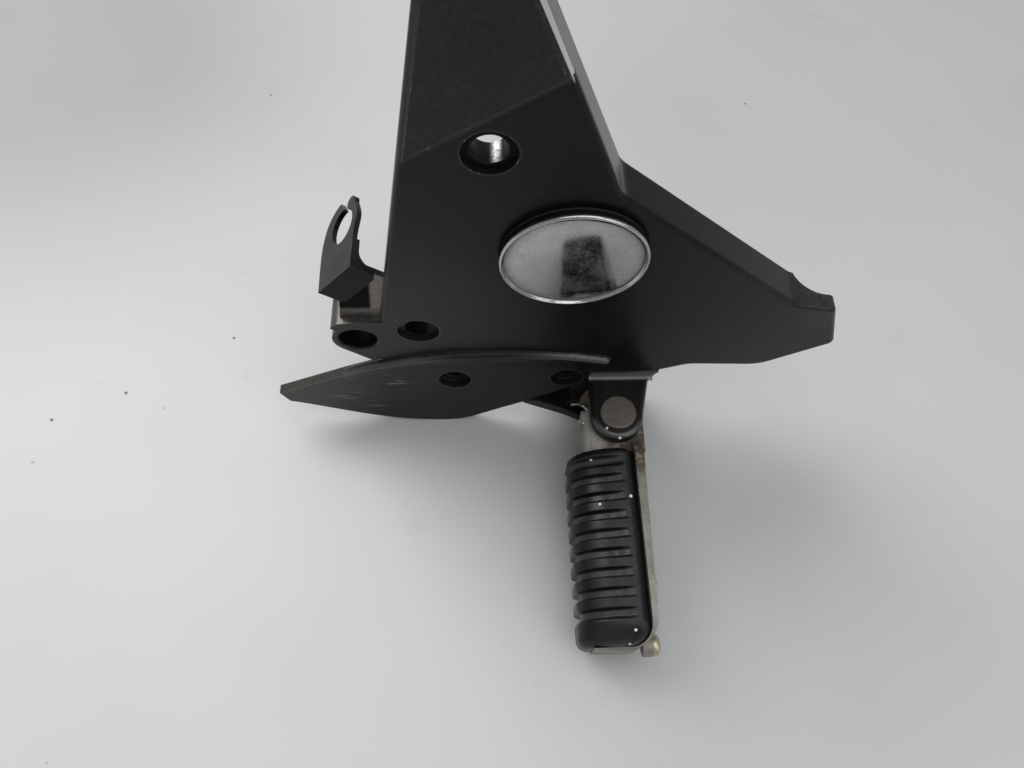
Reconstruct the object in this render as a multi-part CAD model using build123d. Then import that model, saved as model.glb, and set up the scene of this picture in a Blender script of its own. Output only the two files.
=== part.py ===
from build123d import *
import os
from math import asin, atan2, cos, degrees, hypot, pi, radians, sin

os.makedirs("parts", exist_ok=True)

# Motorcycle footrest hanger: a die-cast plate that bolts to the frame and carries a folding
# footpeg, a heel guard, a chromed cover for the swingarm pivot and a clip for a hose.
# Millimetres. X is right, Z is up and Y runs backwards through the plate. The shapes are drawn
# with the plate's outer face at y = 0, looking towards -Y, and with the upper frame bolt's axis
# at x = 0 and z = 0. They are written out with the origin halfway along that bolt's bore.

# Main plate: its outline, clockwise from the top left corner
top_z = 57.0
top_left_x = -15.5
top_right_x = 12.2
elbow_x = 42.6
elbow_z = -20.6
wing_top_x = 122.0
wing_top_z = -89.3
tip_top_x = 139.5
tip_top_z = -93.0
tip_low_x = 149.8
tip_low_z = -121.8
heel_x = 122.0
heel_z = -142.7
throat_x = 89.0
throat_z = -141.0
notch_x = -56.0
notch_z = -131.5
left_low_x = -48.5
left_low_z = -99.0
corner_top_r = 9.0
elbow_r = 12.0
corner_small_r = 3.5
heel_r = 16.0
throat_r = 12.0

# Main plate: thickness, edge walls and front edge
plate_t = 5.0
wall_t = 4.5
wall_depth = 16.0
wall_depth_top = 11.0
wall_depth_left = 10.0
wall_depth_low = 12.0
tip_depth = 7.2
tip_scoop_r = 14.0
front_edge_r = 2.0

# Raised upper panel, bounded below by a slanting crease
crease_right_z = 29.8
crease_left_z = -3.5
panel_rise = 2.2
panel_rise_left = 0.8
panel_edge = 2.0

# Frame bolts: spot-faced through bores with bosses behind
bolt_bore_r = 5.75
spot_face_r = 8.9
spot_face_depth = 2.0
bolt_boss_r = 12.5
mount_depth = 10.0
lower_bolt_x = -33.0
lower_bolt_z = -105.5

# Side boss with a wide bore, and the lug that carries the hose clip
side_bore_x = -59.6
side_bore_z = -112.0
side_bore_r = 8.0
side_boss_r = 11.0
side_boss_top = 14.0
side_boss_inset = 0.8
side_boss_depth = 14.0
side_bore_chamfer = 0.9
side_boss_corner_r = 6.0
lug_front = 3.0
lug_back = 5.6
lug_top_z = -71.0
lug_gap = 0.3

# Heel guard: a tilted blade with a rounded bead along its top
blade_tilt = 3.6
blade_t = 5.0
blade_root_z = -128.0
blade_tip_x = -107.0
blade_tip_z = -161.5
blade_tip_h = 8.0
blade_low_x = -28.0
blade_low_z = -193.0
cusp_x = 12.2
cusp_z = -174.5
blade_end_x = 44.0
blade_end_z = -153.0
blade_edge_r = 1.6
bead_w = 6.2
bead_proud = 3.6
bead_start_x = -71.0
bead_start_z = -144.0
bead_rise_x = -46.0
bead_rise_z = -133.0
bead_mid_x = -8.0
bead_mid_z = -126.7
bead_end_x = 48.5
bead_end_z = -133.2

# Master cylinder holes in the blade
cylinder_hole_x = -20.6
cylinder_hole_z = -150.3
cylinder_hole_spacing = 53.0
cylinder_hole_r = 4.25
cylinder_recess_r = 7.6
cylinder_recess_depth = 4.0
cylinder_boss_r = 10.5
cylinder_boss_depth = 12.0

# Clevis: two ears and the pocket wall behind the tongue
ear_top_z = -148.8
ear_t = 6.0
tongue_w = 27.4
side_gap = 0.3
pin_x = 55.3
pin_y = -20.8
ear_r = 12.2
ear_root_x = 72.0
ear_root_r = 4.0
ear_side_r = 4.0
ear_edge_r = 2.6
pocket_left_x = 36.0
web_front = 3.0
clevis_depth = 14.0
gusset_x = 33.0
gusset_y = -5.5
shelf_x = 31.0
shelf_z = -183.6
spring_post_x = 38.6
spring_post_z = -177.4
spring_post_r = 4.6
spring_post_proud = 3.0

# Ribs and the ring behind the plate
rib_t = 4.0
rib_depth = 10.0
ring_wall = 3.5
ring_room = 0.6
ring_depth = 9.0

# Chromed pivot cap and its gasket
cap_x = 28.7
cap_z = -51.8
cap_d = 54.0
cap_h = 3.5
cap_dish = 0.5
cap_dome = 0.7
cap_wall = 1.6
cap_edge_r = 1.7
cap_rim_w = 3.2
gasket_t = 0.8
gasket_w = 3.0
gasket_inset = 0.3
skirt_r = 22.8
skirt_gap = 0.2
snap_legs = 6
snap_leg_w = 11.0
snap_gap = 0.2
snap_hook = 1.1
snap_hook_h = 1.8

# Hose clip: a fork with a C-shaped mouth on a flat foot, moulded in one
clip_x = -67.9
clip_z = -74.2
clip_w = 23.6
clip_turn = 48.6
clip_t = 2.1
clip_root_t = 3.2
clip_root_h = 13.0
clip_foot = 11.5
clip_foot_t = 3.0
clip_foot_r = 3.0
clip_reach = 35.2
clip_belly = 0.6
clip_shoulder_s = 2.4
clip_shoulder_h = 28.9
clip_tip_s = 12.0
clip_tip_w = 4.4
clip_gusset_r = 5.4
clip_gusset_w = 2.6
clip_mouth_r = 7.6
clip_mouth_s = 14.3
clip_mouth_y = 23.2
clip_ball_r = 2.8
clip_ball_s = 20.0
clip_ball_h = 31.2
clip_prong_w = 3.4
clip_stud_s = 10.7
clip_stud_t = 7.8
clip_stud_r = 2.9
clip_stud_gap = 0.1
clip_barb_r = 3.7
clip_barb_h = 2.4
clip_stud_slot = 1.0

# Footpeg bracket
tongue_left = 17.3
tongue_right = 12.4
stop_gap = 0.3
heel_stop_w = 8.2
barrel_r = 12.2
flange_back_y = -17.2
flange_corner_r = 3.0
horn_r = 19.6
horn_h = 7.4
horn_slot_low_y = -16.4
horn_slot_high_y = -10.4
spring_room_r = 24.0
spring_room_h = 10.5
spring_room_from = 82.0
spring_room_to = 226.0
pin_bore_gap = 0.05
tongue_edge_r = 3.0

# The peg, turned a little about the hinge from square to the plate
peg_turn = 0.9
peg_rubber_y = -37.0
peg_tip_y = -122.4
pad_x = 61.2
pad_t_root = 4.4
pad_t_tip = 2.2
pad_floor_t = 2.0
pad_corner_r = 11.5
pad_tip_r = 16.0
pad_root_r = 8.0
pad_rib_t = 2.4
lip_t = 1.4
lip_edge_t = 0.6
lip_reach = 24.0

# Rubber: its section, its corners from above and from the side, and its grooves
rubber_h = 30.2
rubber_w = 41.0
rubber_crown_h = 24.0
rubber_crown_w = 14.0
rubber_base_r = 5.0
rubber_corner_r = 8.0
rubber_nose_r = 4.5
rubber_root_r = 4.0
rubber_tip_r = 11.0
rubber_shoulder_r = 2.5
groove_count = 9
groove_first = 6.2
groove_pitch = 8.3
groove_w = 3.5
groove_depth = 2.4
groove_strip = 4.8

# Steel plate bonded into the rubber
plate_root_gap = 2.0
plate_tip_gap = 10.0
plate_w = 32.0
plate_corner_r = 4.0
backing_t = 2.0
weld_nut_r = 6.0
weld_nut_h = 6.0
moulded_gap = 0.1

# Screws that hold the rubber, with their washers
screw_r = 3.0
screw_gap = 0.3
thread_gap = 0.05
screw_head_r = 5.2
screw_head_h = 3.4
washer_r = 6.4
washer_t = 1.0
screw_socket_r = 2.4
screw_socket_depth = 2.2
screw_tip_t = 7.0
screw_pocket_t = 8.0
screw_first = 21.0
screw_spacing = 38.0

# Domed feeler bolt near the peg's tip
feeler_from_tip = 1.5
feeler_r = 4.5
feeler_h = 3.2
feeler_dome_r = 2.2
feeler_shank_r = 2.5
feeler_shank_len = 4.0
feeler_boss_r = 4.8
feeler_boss_t = 4.4

# Pivot pin with its washer and split pin
pin_r = 5.0
pin_head_r = 8.3
pin_head_h = 2.6
pin_head_edge = 0.8
pin_ear_gap = 0.05
pin_washer_r = 9.0
pin_washer_t = 1.2
pin_washer_gap = 0.15
pin_end = 6.0
pin_end_chamfer = 1.0
split_shank_r = 1.0
split_gap = 0.1
split_reach = 0.9
split_slit = 0.14
split_eye_r = 2.0
split_wire_r = 0.6
split_tail = 3.4
split_bend = 50.0

# Return spring on the pin
spring_wire_r = 0.9
spring_gap = 0.5
spring_turns = 2.75
spring_pitch = 2.0
spring_lift = 1.3
spring_tail = 3.0
spring_post_gap = 0.1

# Sizes that follow from those above
upper_ear_low_z = ear_top_z - ear_t
tongue_top_z = upper_ear_low_z - side_gap
tongue_low_z = tongue_top_z - tongue_w
lower_ear_top_z = tongue_low_z - side_gap
lower_ear_low_z = lower_ear_top_z - ear_t
peg_mid_z = (tongue_top_z + tongue_low_z) / 2
left_slope = (top_left_x - left_low_x) / (top_z - left_low_z)
right_slope = (elbow_x - top_right_x) / (elbow_z - top_z)
pad_w = rubber_w
feeler_y = peg_tip_y + feeler_from_tip
bore_middle_y = (spot_face_depth + mount_depth) / 2
spring_mean_r = pin_r + spring_gap + spring_wire_r
spring_reach = hypot(spring_mean_r, spring_tail) + spring_wire_r

# Long enough to cut right through any piece
through = 500.0


def left_edge_x(z):
    """The plate's left edge at a height."""
    return left_low_x + (z - left_low_z) * left_slope


def right_edge_x(z):
    """The plate's upper right edge at a height."""
    return top_right_x + (z - top_z) * right_slope


def blade_y(z):
    """The blade's front face, which leans outwards going down."""
    return (z - blade_root_z) * sin(radians(blade_tilt)) / cos(radians(blade_tilt))


def front_slab(sketch, front, back):
    """A sketch drawn in X and Z, as a slab between two depths."""
    return extrude(Plane.XZ.offset(-front) * sketch, amount=front - back)


def level_slab(sketch, low, high):
    """A sketch drawn in X and Y, as a slab between two heights."""
    return extrude(Plane.XY.offset(low) * sketch, amount=high - low)


def disc(x, z, radius, front, back):
    """A cylinder through the plate, between two depths."""
    return front_slab(Pos(x, z) * Circle(radius), front, back)


def post(radius, low, high):
    """A cylinder on the hinge axis, between two heights."""
    return level_slab(Pos(pin_x, pin_y) * Circle(radius), low, high)


def outline(points):
    """A closed face through corner points, each with its own radius."""
    corners = [point[:2] for point in points]
    face = make_face(Polyline(*corners, close=True))
    for x, y, radius in points:
        if radius > 0:
            nearest = face.vertices().sort_by_distance(Vector(x, y, 0))[0]
            face = fillet(nearest, radius)
    return face


def half_space(x, z, towards_x, towards_z, front, back, size=500.0):
    """A block on one side of a line in X and Z."""
    angle = degrees(atan2(towards_z, towards_x))
    return front_slab(Pos(x, z) * Rot(0, 0, angle) * Pos(size / 2, 0) * Rectangle(size, size), front, back)


def eased(solid, edges, radius):
    """The solid with some edges rounded, more gently where the full round has no room."""
    for share in (1.0, 0.6, 0.3):
        try:
            return fillet(edges, radius * share)
        except (ValueError, RuntimeError):
            continue
    return solid


def bar(start, end, width, front, back):
    """A straight bar behind the plate between two points in X and Z."""
    run = end[0] - start[0]
    rise = end[1] - start[1]
    middle = Pos((start[0] + end[0]) / 2, (start[1] + end[1]) / 2)
    turned = middle * Rot(0, 0, degrees(atan2(rise, run)))
    return front_slab(turned * Rectangle(hypot(run, rise), width), front, back)


def main_outline():
    """The front view of the plate down to the clevis."""
    return outline([
        (top_left_x, top_z, corner_top_r),
        (top_right_x, top_z, corner_small_r),
        (elbow_x, elbow_z, elbow_r),
        (wing_top_x, wing_top_z, throat_r),
        (tip_top_x, tip_top_z, corner_small_r),
        (tip_low_x, tip_low_z, corner_small_r),
        (heel_x, heel_z, heel_r),
        (throat_x, throat_z, throat_r),
        (ear_root_x, ear_top_z, ear_side_r),
        (ear_root_x, lower_ear_low_z, 0),
        (pocket_left_x, lower_ear_low_z, 0),
        (pocket_left_x, blade_root_z - bead_w, 0),
        (notch_x, notch_z, 0),
        (side_bore_x, side_bore_z, 0),
        (left_low_x, left_low_z, 0),
    ])


def casting_walls():
    """The plate with its edge walls: a tray that opens backwards."""
    body = front_slab(main_outline(), 0, wall_depth)
    body -= front_slab(offset(main_outline(), -wall_t), plate_t, wall_depth)
    # The back edge of the walls rises towards the top, the left and the bottom.
    lean = degrees(atan2(wall_depth - wall_depth_top, top_z - elbow_z))
    top_cut = Pos(0, wall_depth_top, top_z) * Rot(lean, 0, 0) * Pos(0, 250, 0) * Box(500, 500, 500)
    body -= top_cut & half_space(0, elbow_z, 0, 1, 0, wall_depth)
    left_x = left_edge_x(cap_z) + wall_t
    body -= half_space(left_x, cap_z, -1, left_slope, wall_depth_left, wall_depth)
    body -= front_slab(Pos(-150, -250 + throat_z + wall_t) * Rectangle(500, 500), wall_depth_low, wall_depth)
    # The wall is scooped away behind the wing's tip.
    scoop = Pos(wing_top_x + tip_scoop_r, tip_depth + tip_scoop_r, 0) * Cylinder(tip_scoop_r, 600)
    scoop += Pos(wing_top_x + tip_scoop_r + 50, tip_depth + 50, -100) * Box(100, 100, 300)
    return body - scoop


def raised_panel():
    """The upper part stands proud of the face, above a slanting crease."""
    face = front_slab(outline([
        (top_left_x, top_z, corner_top_r),
        (top_right_x, top_z, corner_small_r),
        (right_edge_x(crease_right_z), crease_right_z, 0),
        (left_edge_x(crease_left_z), crease_left_z, 0),
    ]), -panel_rise, front_edge_r + 1.0)
    run = top_right_x - left_edge_x(crease_left_z)
    lean = degrees(atan2(panel_rise - panel_rise_left, run))
    corner = Pos(right_edge_x(crease_right_z), -panel_rise, 0)
    face -= corner * Rot(0, 0, -lean) * Pos(0, -50, 0) * Box(500, 100, 500)
    rim = face.faces().sort_by(Axis.Y)[0].edges()
    right = rim.filter_by(lambda e: (e @ 0.5).X > 0 and abs((e @ 0).Z - (e @ 1).Z) > 20)
    return chamfer(right, panel_edge)


def clip_point(along, across):
    """A point of the hose clip's foot in X and Z, from its place along and across the fork."""
    turn = radians(clip_turn)
    return (clip_x + along * cos(turn) + across * sin(turn),
            clip_z + along * sin(turn) - across * cos(turn))


def side_boss():
    """The boss at the lower left and the lug under the hose clip."""
    left = side_bore_x - side_boss_r + side_boss_inset
    boss = front_slab(outline([
        (left, side_bore_z + side_boss_top, side_boss_corner_r),
        (left_low_x + 6.0, side_bore_z + side_boss_top, 0),
        (left_low_x + 6.0, side_bore_z - side_boss_r, 0),
        (left, side_bore_z - side_boss_r, 0),
    ]), 0, side_boss_depth)
    boss -= half_space(side_bore_x, side_bore_z, -1, -1, -1, side_boss_depth + 1)
    boss += disc(side_bore_x, side_bore_z, side_boss_r, 0, side_boss_depth)
    # The boss runs on down into the notch above the blade.
    boss += front_slab(make_face(Polyline(
        (side_bore_x, side_bore_z), (side_bore_x - side_boss_r * sin(radians(45)),
                                     side_bore_z - side_boss_r * cos(radians(45))),
        (notch_x, notch_z), (left_low_x, notch_z + 4.0), close=True)), 0, wall_depth_low)
    rim = boss.faces().sort_by(Axis.Y)[0].edges().filter_by(lambda e: (e @ 0.5).X < left_low_x)
    boss = eased(boss, rim, 1.0)
    past_fork = clip_root_t + lug_gap
    past_gusset = clip_foot_t + clip_gusset_r + lug_gap
    inside = clip_gusset_w + lug_gap
    lug = front_slab(make_face(Polyline(
        clip_point(inside, past_fork), clip_point(clip_w - inside, past_fork),
        clip_point(clip_w - inside, past_gusset), (left_edge_x(lug_top_z) + 3.0, lug_top_z),
        (left_low_x + 4.0, left_low_z),
        (side_bore_x - side_boss_r / 2, side_bore_z + side_boss_top - 2.0),
        clip_point(0.0, past_gusset), clip_point(inside, past_gusset), close=True)), lug_front, lug_back)
    stud_x, stud_z = clip_point(clip_stud_s, clip_stud_t)
    lug -= disc(stud_x, stud_z, clip_stud_r + clip_stud_gap, lug_front - 1, lug_back + 1)
    return boss + lug


def heel_guard():
    """The blade below the bead, which leans outwards going down."""
    lean = Plane(origin=(0, 0, blade_root_z), x_dir=(1, 0, 0),
                 z_dir=(0, -cos(radians(blade_tilt)), sin(radians(blade_tilt))))
    root = blade_root_z
    edge = make_face([
        Line((blade_tip_x, blade_tip_z - root), (bead_start_x, bead_start_z - root)),
        Line((bead_start_x, bead_start_z - root), (bead_rise_x, bead_rise_z - root)),
        Line((bead_rise_x, bead_rise_z - root), (bead_mid_x, -1.0)),
        Line((bead_mid_x, -1.0), (blade_end_x, -1.0)),
        Line((blade_end_x, -1.0), (blade_end_x, blade_end_z - root)),
        Line((blade_end_x, blade_end_z - root), (cusp_x, cusp_z - root)),
        Spline((cusp_x, cusp_z - root), (blade_low_x + 22, blade_low_z - root + 8.0),
               (blade_low_x, blade_low_z - root), tangents=((-1, -0.55), (-1, 0))),
        Spline((blade_low_x, blade_low_z - root), (blade_tip_x + 3.0, blade_tip_z - blade_tip_h - root),
               tangents=((-1, 0), (-1, 0.36))),
        Line((blade_tip_x + 3.0, blade_tip_z - blade_tip_h - root), (blade_tip_x, blade_tip_z - root)),
    ])
    blade = extrude(lean * edge, amount=-blade_t)
    front = blade.faces().filter_by(lambda f: f.normal_at().Y < -0.9).sort_by(Axis.Y)[0]
    free = front.edges().filter_by(lambda e: (e @ 0.5).Z < blade_end_z or (e @ 0.5).X < bead_start_x)
    return eased(blade, free, blade_edge_r)


def bead_rib():
    """A half-round bead that rises out of the blade's top edge and runs along it."""
    level = bead_w / 2 - bead_proud
    start_z = bead_start_z - bead_w / 2
    start = (bead_start_x, blade_y(start_z) + blade_t / 2, start_z)
    path = Spline(start, (bead_rise_x, level, bead_rise_z), (bead_mid_x, level, bead_mid_z),
                  (bead_end_x, level, bead_end_z))
    section = Plane(origin=path @ 0, z_dir=path % 0) * Circle(bead_w / 2)
    rib = sweep(section, path=path)
    rib += Pos(*(path @ 1)) * Sphere(bead_w / 2)
    return rib


def ear(low, high):
    """One clevis ear: straight at its root, round about the hinge axis."""
    plan = make_face([
        Line((pin_x - ear_r, plate_t), (pin_x - ear_r, pin_y)),
        ThreePointArc((pin_x - ear_r, pin_y), (pin_x, pin_y - ear_r), (pin_x + ear_r, pin_y)),
        Line((pin_x + ear_r, pin_y), (ear_root_x, 0)),
        Line((ear_root_x, 0), (ear_root_x, plate_t)),
        Line((ear_root_x, plate_t), (pin_x - ear_r, plate_t)),
    ])
    return level_slab(plan, low, high)


def lower_shelf():
    """The slanting shelf that carries the lower ear across to the blade's end."""
    plan = level_slab(make_face(Polyline(
        (cusp_x - 3.0, plate_t), (cusp_x, blade_y(cusp_z)), (gusset_x, gusset_y),
        (pin_x - ear_r + 1.0, gusset_y - 3.0), (pin_x - 2.0, pin_y), (pin_x - 2.0, plate_t), close=True)),
        lower_ear_low_z, cusp_z + 6.0)
    band = front_slab(make_face(Polyline(
        (cusp_x - 3.0, cusp_z + 1.5), (cusp_x, cusp_z), (shelf_x, shelf_z),
        (pin_x - ear_r, lower_ear_low_z), (pin_x, lower_ear_low_z), (pin_x, lower_ear_top_z),
        (pin_x - ear_r, lower_ear_top_z), (cusp_x + 8.0, cusp_z + 3.0), close=True)),
        pin_y - ear_r, plate_t)
    return plan & band


def clevis():
    """Two ears, the pocket wall behind the tongue, the shelf and the spring post."""
    upper = ear(upper_ear_low_z, ear_top_z)
    edge = upper.faces().sort_by(Axis.Z)[-1].edges().filter_by(lambda e: (e @ 0.5).Y < -2.0)
    upper = eased(upper, edge, ear_edge_r)
    lower = ear(lower_ear_low_z, lower_ear_top_z)
    edge = lower.faces().sort_by(Axis.Z)[0].edges().filter_by(lambda e: (e @ 0.5).Y < -2.0)
    lower = eased(lower, edge, 1.2)
    # The root fillet over the upper ear, under the plate's face
    root_left = pin_x - ear_r
    root_right = ear_root_x + ear_side_r
    root = front_slab(Pos((root_left + root_right) / 2, ear_top_z + ear_root_r / 2) *
                      Rectangle(root_right - root_left, ear_root_r), -ear_root_r, front_edge_r)
    root -= Pos((root_left + root_right) / 2, -ear_root_r, ear_top_z + ear_root_r) * Rot(0, 90, 0) * Cylinder(
        ear_root_r, 2 * root_right)
    root &= front_slab(main_outline(), -ear_root_r, front_edge_r)
    back = front_slab(Pos((pocket_left_x + ear_root_x) / 2, (ear_top_z + lower_ear_low_z) / 2) *
                      Rectangle(ear_root_x - pocket_left_x, ear_top_z - lower_ear_low_z), 0, clevis_depth)
    web = front_slab(make_face(Polyline(
        (cusp_x - 4.0, cusp_z + 8.0), (cusp_x - 3.0, cusp_z + 1.5), (cusp_x, cusp_z), (shelf_x, shelf_z),
        (pocket_left_x + 2.0, lower_ear_low_z), (pocket_left_x + 2.0, blade_end_z), close=True)),
        web_front, clevis_depth - wall_t)
    spring_post = disc(spring_post_x, spring_post_z, spring_post_r, -spring_post_proud, plate_t)
    return upper + lower + root + back + web + spring_post + lower_shelf()


def back_bosses():
    """The bosses behind the bolt holes and the ring behind the cap's hole."""
    ring_r = skirt_r + snap_hook + ring_room
    bosses = disc(0, 0, bolt_boss_r, plate_t - 1.0, mount_depth)
    bosses += disc(lower_bolt_x, lower_bolt_z, bolt_boss_r, plate_t - 1.0, mount_depth)
    bosses += disc(cap_x, cap_z, ring_r + ring_wall, plate_t - 1.0, ring_depth)
    for step in (0, 1):
        x = cylinder_hole_x + step * cylinder_hole_spacing
        bosses += disc(x, cylinder_hole_z, cylinder_boss_r, plate_t - 2.0, cylinder_boss_depth)
    return bosses


def back_ribs():
    """Straight ribs that tie the bosses, the ring and the walls together."""
    upper = (0.0, 0.0)
    lower = (lower_bolt_x, lower_bolt_z)
    cap = (cap_x, cap_z)
    side = (side_bore_x, side_bore_z)
    near = (cylinder_hole_x, cylinder_hole_z)
    far = (cylinder_hole_x + cylinder_hole_spacing, cylinder_hole_z)
    left = wall_t / 2
    lines = [
        (upper, (left_edge_x(top_z / 2) + left, top_z / 2)),
        (upper, (right_edge_x(top_z / 2) - left, top_z / 2)),
        (upper, (left_edge_x(cap_z / 2) + left, cap_z / 2)),
        (upper, cap),
        (cap, (left_edge_x(cap_z) + left, cap_z)),
        (cap, (elbow_x + 8.0, elbow_z - 8.0)),
        (cap, (wing_top_x - 6.0, (wing_top_z + throat_z) / 2)),
        (cap, (throat_x, throat_z + left)),
        (cap, (pin_x, ear_top_z)),
        (cap, lower),
        (lower, (left_edge_x(clip_z) + left, clip_z)),
        (lower, side),
        (lower, near),
        (near, far),
        (near, (blade_tip_x + 26.0, blade_tip_z - 5.0)),
        ((wing_top_x - 6.0, (wing_top_z + throat_z) / 2), (wing_top_x - 2.0, throat_z + 6.0)),
    ]
    ribs = bar(*lines[0], rib_t, plate_t - 2.2, rib_depth)
    for line in lines[1:]:
        ribs += bar(*line, rib_t, plate_t - 2.2, rib_depth)
    return ribs


def casting_bores():
    """Everything drilled or cored: bolt bores, spot faces, the cap's hole and the pin's bores."""
    ring_r = skirt_r + snap_hook + ring_room
    bores = disc(cap_x, cap_z, skirt_r + skirt_gap, -10, plate_t + 0.01)
    bores += disc(cap_x, cap_z, ring_r, plate_t, 40)
    for x, z in ((0, 0), (lower_bolt_x, lower_bolt_z)):
        bores += disc(x, z, bolt_bore_r, -10, 40)
        bores += disc(x, z, spot_face_r, -10, spot_face_depth)
    bores += disc(side_bore_x, side_bore_z, side_bore_r, -10, 40)
    bores += Pos(side_bore_x, side_bore_chamfer / 2, side_bore_z) * Rot(90, 0, 0) * Cone(
        side_bore_r, side_bore_r + side_bore_chamfer, side_bore_chamfer)
    for step in (0, 1):
        x = cylinder_hole_x + step * cylinder_hole_spacing
        bores += disc(x, cylinder_hole_z, cylinder_hole_r, -20, 40)
        bores += disc(x, cylinder_hole_z, cylinder_recess_r, -20,
                      blade_y(cylinder_hole_z) + cylinder_recess_depth)
    bores += post(pin_r + pin_ear_gap, lower_ear_low_z - 10, ear_top_z + 10)
    return bores


def hanger_casting():
    """The whole casting."""
    body = casting_walls()
    front = body.faces().sort_by(Axis.Y)[0]
    outer = front.edges().filter_by(
        lambda e: (e @ 0.5).Z > throat_z - 1 and (e @ 0.5).X > left_edge_x((e @ 0.5).Z) - 2)
    body = eased(body, outer, front_edge_r)
    body += raised_panel()
    body += back_bosses()
    body += back_ribs()
    body += heel_guard()
    body += bead_rib()
    body += side_boss()
    body += clevis()
    return body - casting_bores()


def about_cap(solid):
    """A solid turned about the local Z, placed on the cap's axis with Z outwards from the plate."""
    return Pos(cap_x, 0, cap_z) * Rot(90, 0, 0) * solid


def dome(radius, height, level):
    """A shallow spherical dome on a level, about the local Z."""
    sphere_r = (radius ** 2 + height ** 2) / (2 * height)
    ball = Pos(0, 0, level + height - sphere_r) * Sphere(sphere_r)
    return ball & (Pos(0, 0, level + height / 2 - 0.1) * Cylinder(radius, height + 0.2))


def pivot_cap():
    """The chromed cap: a shallow dish with a round rim, and snap legs behind."""
    rim_r = cap_d / 2
    base = gasket_t
    top = base + cap_h
    dish = top - cap_dish
    under = dish - cap_wall
    dish_r = rim_r - cap_rim_w
    shell = Pos(0, 0, (base + top) / 2) * Cylinder(rim_r, cap_h)
    shell = eased(shell, shell.faces().sort_by(Axis.Z)[-1].edges(), cap_edge_r)
    shell -= Pos(0, 0, dish + cap_dish / 2) * Cone(dish_r, dish_r + cap_rim_w / 2, cap_dish)
    shell += dome(dish_r, cap_dome, dish)
    shell -= Pos(0, 0, (base + under) / 2 - 0.5) * Cylinder(rim_r - cap_wall, under - base + 1.0)
    hook_top = -plate_t - snap_gap
    hook_low = hook_top - snap_hook_h
    legs = Pos(0, 0, (under + hook_low) / 2) * Cylinder(skirt_r, under - hook_low + 0.4)
    hooks = Pos(0, 0, (hook_top + hook_low) / 2) * Cone(skirt_r + 0.2, skirt_r + snap_hook, snap_hook_h)
    legs += hooks
    legs -= Pos(0, 0, (under + hook_low) / 2) * Cylinder(skirt_r - cap_wall, under - hook_low + 2)
    spokes = Box(4 * skirt_r, snap_leg_w, 40)
    for number in range(1, snap_legs // 2):
        spokes += Rot(0, 0, number * 360 / snap_legs) * Box(4 * skirt_r, snap_leg_w, 40)
    return about_cap(shell + (legs & spokes))


def cap_gasket():
    """The flat foam ring between the cap and the plate."""
    outer_r = cap_d / 2 - gasket_inset
    return disc(cap_x, cap_z, outer_r, -gasket_t, 0) - disc(cap_x, cap_z, outer_r - gasket_w, -2, 1)


def hose_clip():
    """A fork with a C-shaped mouth, its flat foot, two gussets and a snap stud."""
    right = clip_mouth_s + clip_mouth_r + clip_prong_w
    fork = make_face([
        Line((0, 0), (clip_w, 0)),
        Line((clip_w, 0), (clip_w, clip_root_h)),
        Spline((clip_w, clip_root_h), (right, clip_mouth_y), (clip_ball_s + clip_ball_r * 0.9, clip_ball_h),
               tangents=((0, 1), (-0.35, 1))),
        Line((clip_ball_s + clip_ball_r * 0.9, clip_ball_h), (clip_ball_s, clip_ball_h)),
        Line((clip_ball_s, clip_ball_h), (clip_mouth_s, clip_mouth_y)),
        Line((clip_mouth_s, clip_mouth_y), (clip_tip_s + clip_tip_w * 0.55, clip_reach - clip_tip_w * 0.83)),
        Line((clip_tip_s + clip_tip_w * 0.55, clip_reach - clip_tip_w * 0.83), (clip_tip_s, clip_reach)),
        Spline((clip_tip_s, clip_reach), (clip_shoulder_s, clip_shoulder_h), (-clip_belly, clip_root_h), (0, 0)),
    ])
    fork -= Pos(clip_mouth_s, clip_mouth_y) * Circle(clip_mouth_r)
    body = front_slab(fork, 0, clip_t)
    body += front_slab(Pos(clip_w / 2, clip_root_h / 2) * Rectangle(clip_w, clip_root_h), 0, clip_root_t)
    body += Pos(clip_ball_s, clip_t / 2, clip_ball_h) * Rot(90, 0, 0) * Cylinder(clip_ball_r, clip_t)
    foot = Pos(clip_w / 2, clip_foot / 2, clip_foot_t / 2) * Box(clip_w, clip_foot, clip_foot_t)
    corners = foot.edges().filter_by(Axis.Z).sort_by(Axis.Y)[-2:]
    body += fillet(corners, clip_foot_r)
    # Gussets at both ends of the foot stiffen the fork.
    side = Plane.YZ * make_face(Polyline(
        (clip_root_t - 0.5, clip_foot_t - 0.5), (clip_root_t + clip_gusset_r, clip_foot_t - 0.5),
        (clip_root_t + clip_gusset_r, clip_foot_t), (clip_root_t, clip_foot_t + clip_gusset_r),
        (clip_root_t - 0.5, clip_foot_t + clip_gusset_r), close=True))
    scoop = Pos(0, clip_root_t + clip_gusset_r, clip_foot_t + clip_gusset_r) * Rot(0, 90, 0) * Cylinder(
        clip_gusset_r, 4 * clip_w)
    gusset = extrude(side, amount=clip_gusset_w)
    body += gusset - scoop
    body += Pos(clip_w - clip_gusset_w, 0, 0) * (gusset - scoop)
    # The snap stud passes through the lug and catches behind it.
    catch = lug_back + clip_stud_gap
    stud = Pos(0, 0, (clip_foot_t - 0.5 + catch) / 2) * Cylinder(clip_stud_r, catch - clip_foot_t + 0.5)
    stud += Pos(0, 0, catch + clip_barb_h / 2) * Cone(clip_barb_r, clip_stud_r - 0.8, clip_barb_h)
    stud -= Pos(0, 0, catch + clip_barb_h / 2) * Box(clip_stud_slot, 4 * clip_barb_r, 3 * clip_barb_h)
    body += Pos(clip_stud_s, clip_stud_t, 0) * stud
    turn = radians(clip_turn)
    place = Plane(origin=(clip_x, 0, clip_z), x_dir=(cos(turn), 0, sin(turn)), z_dir=(0, 1, 0))
    return place.location * body


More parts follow.
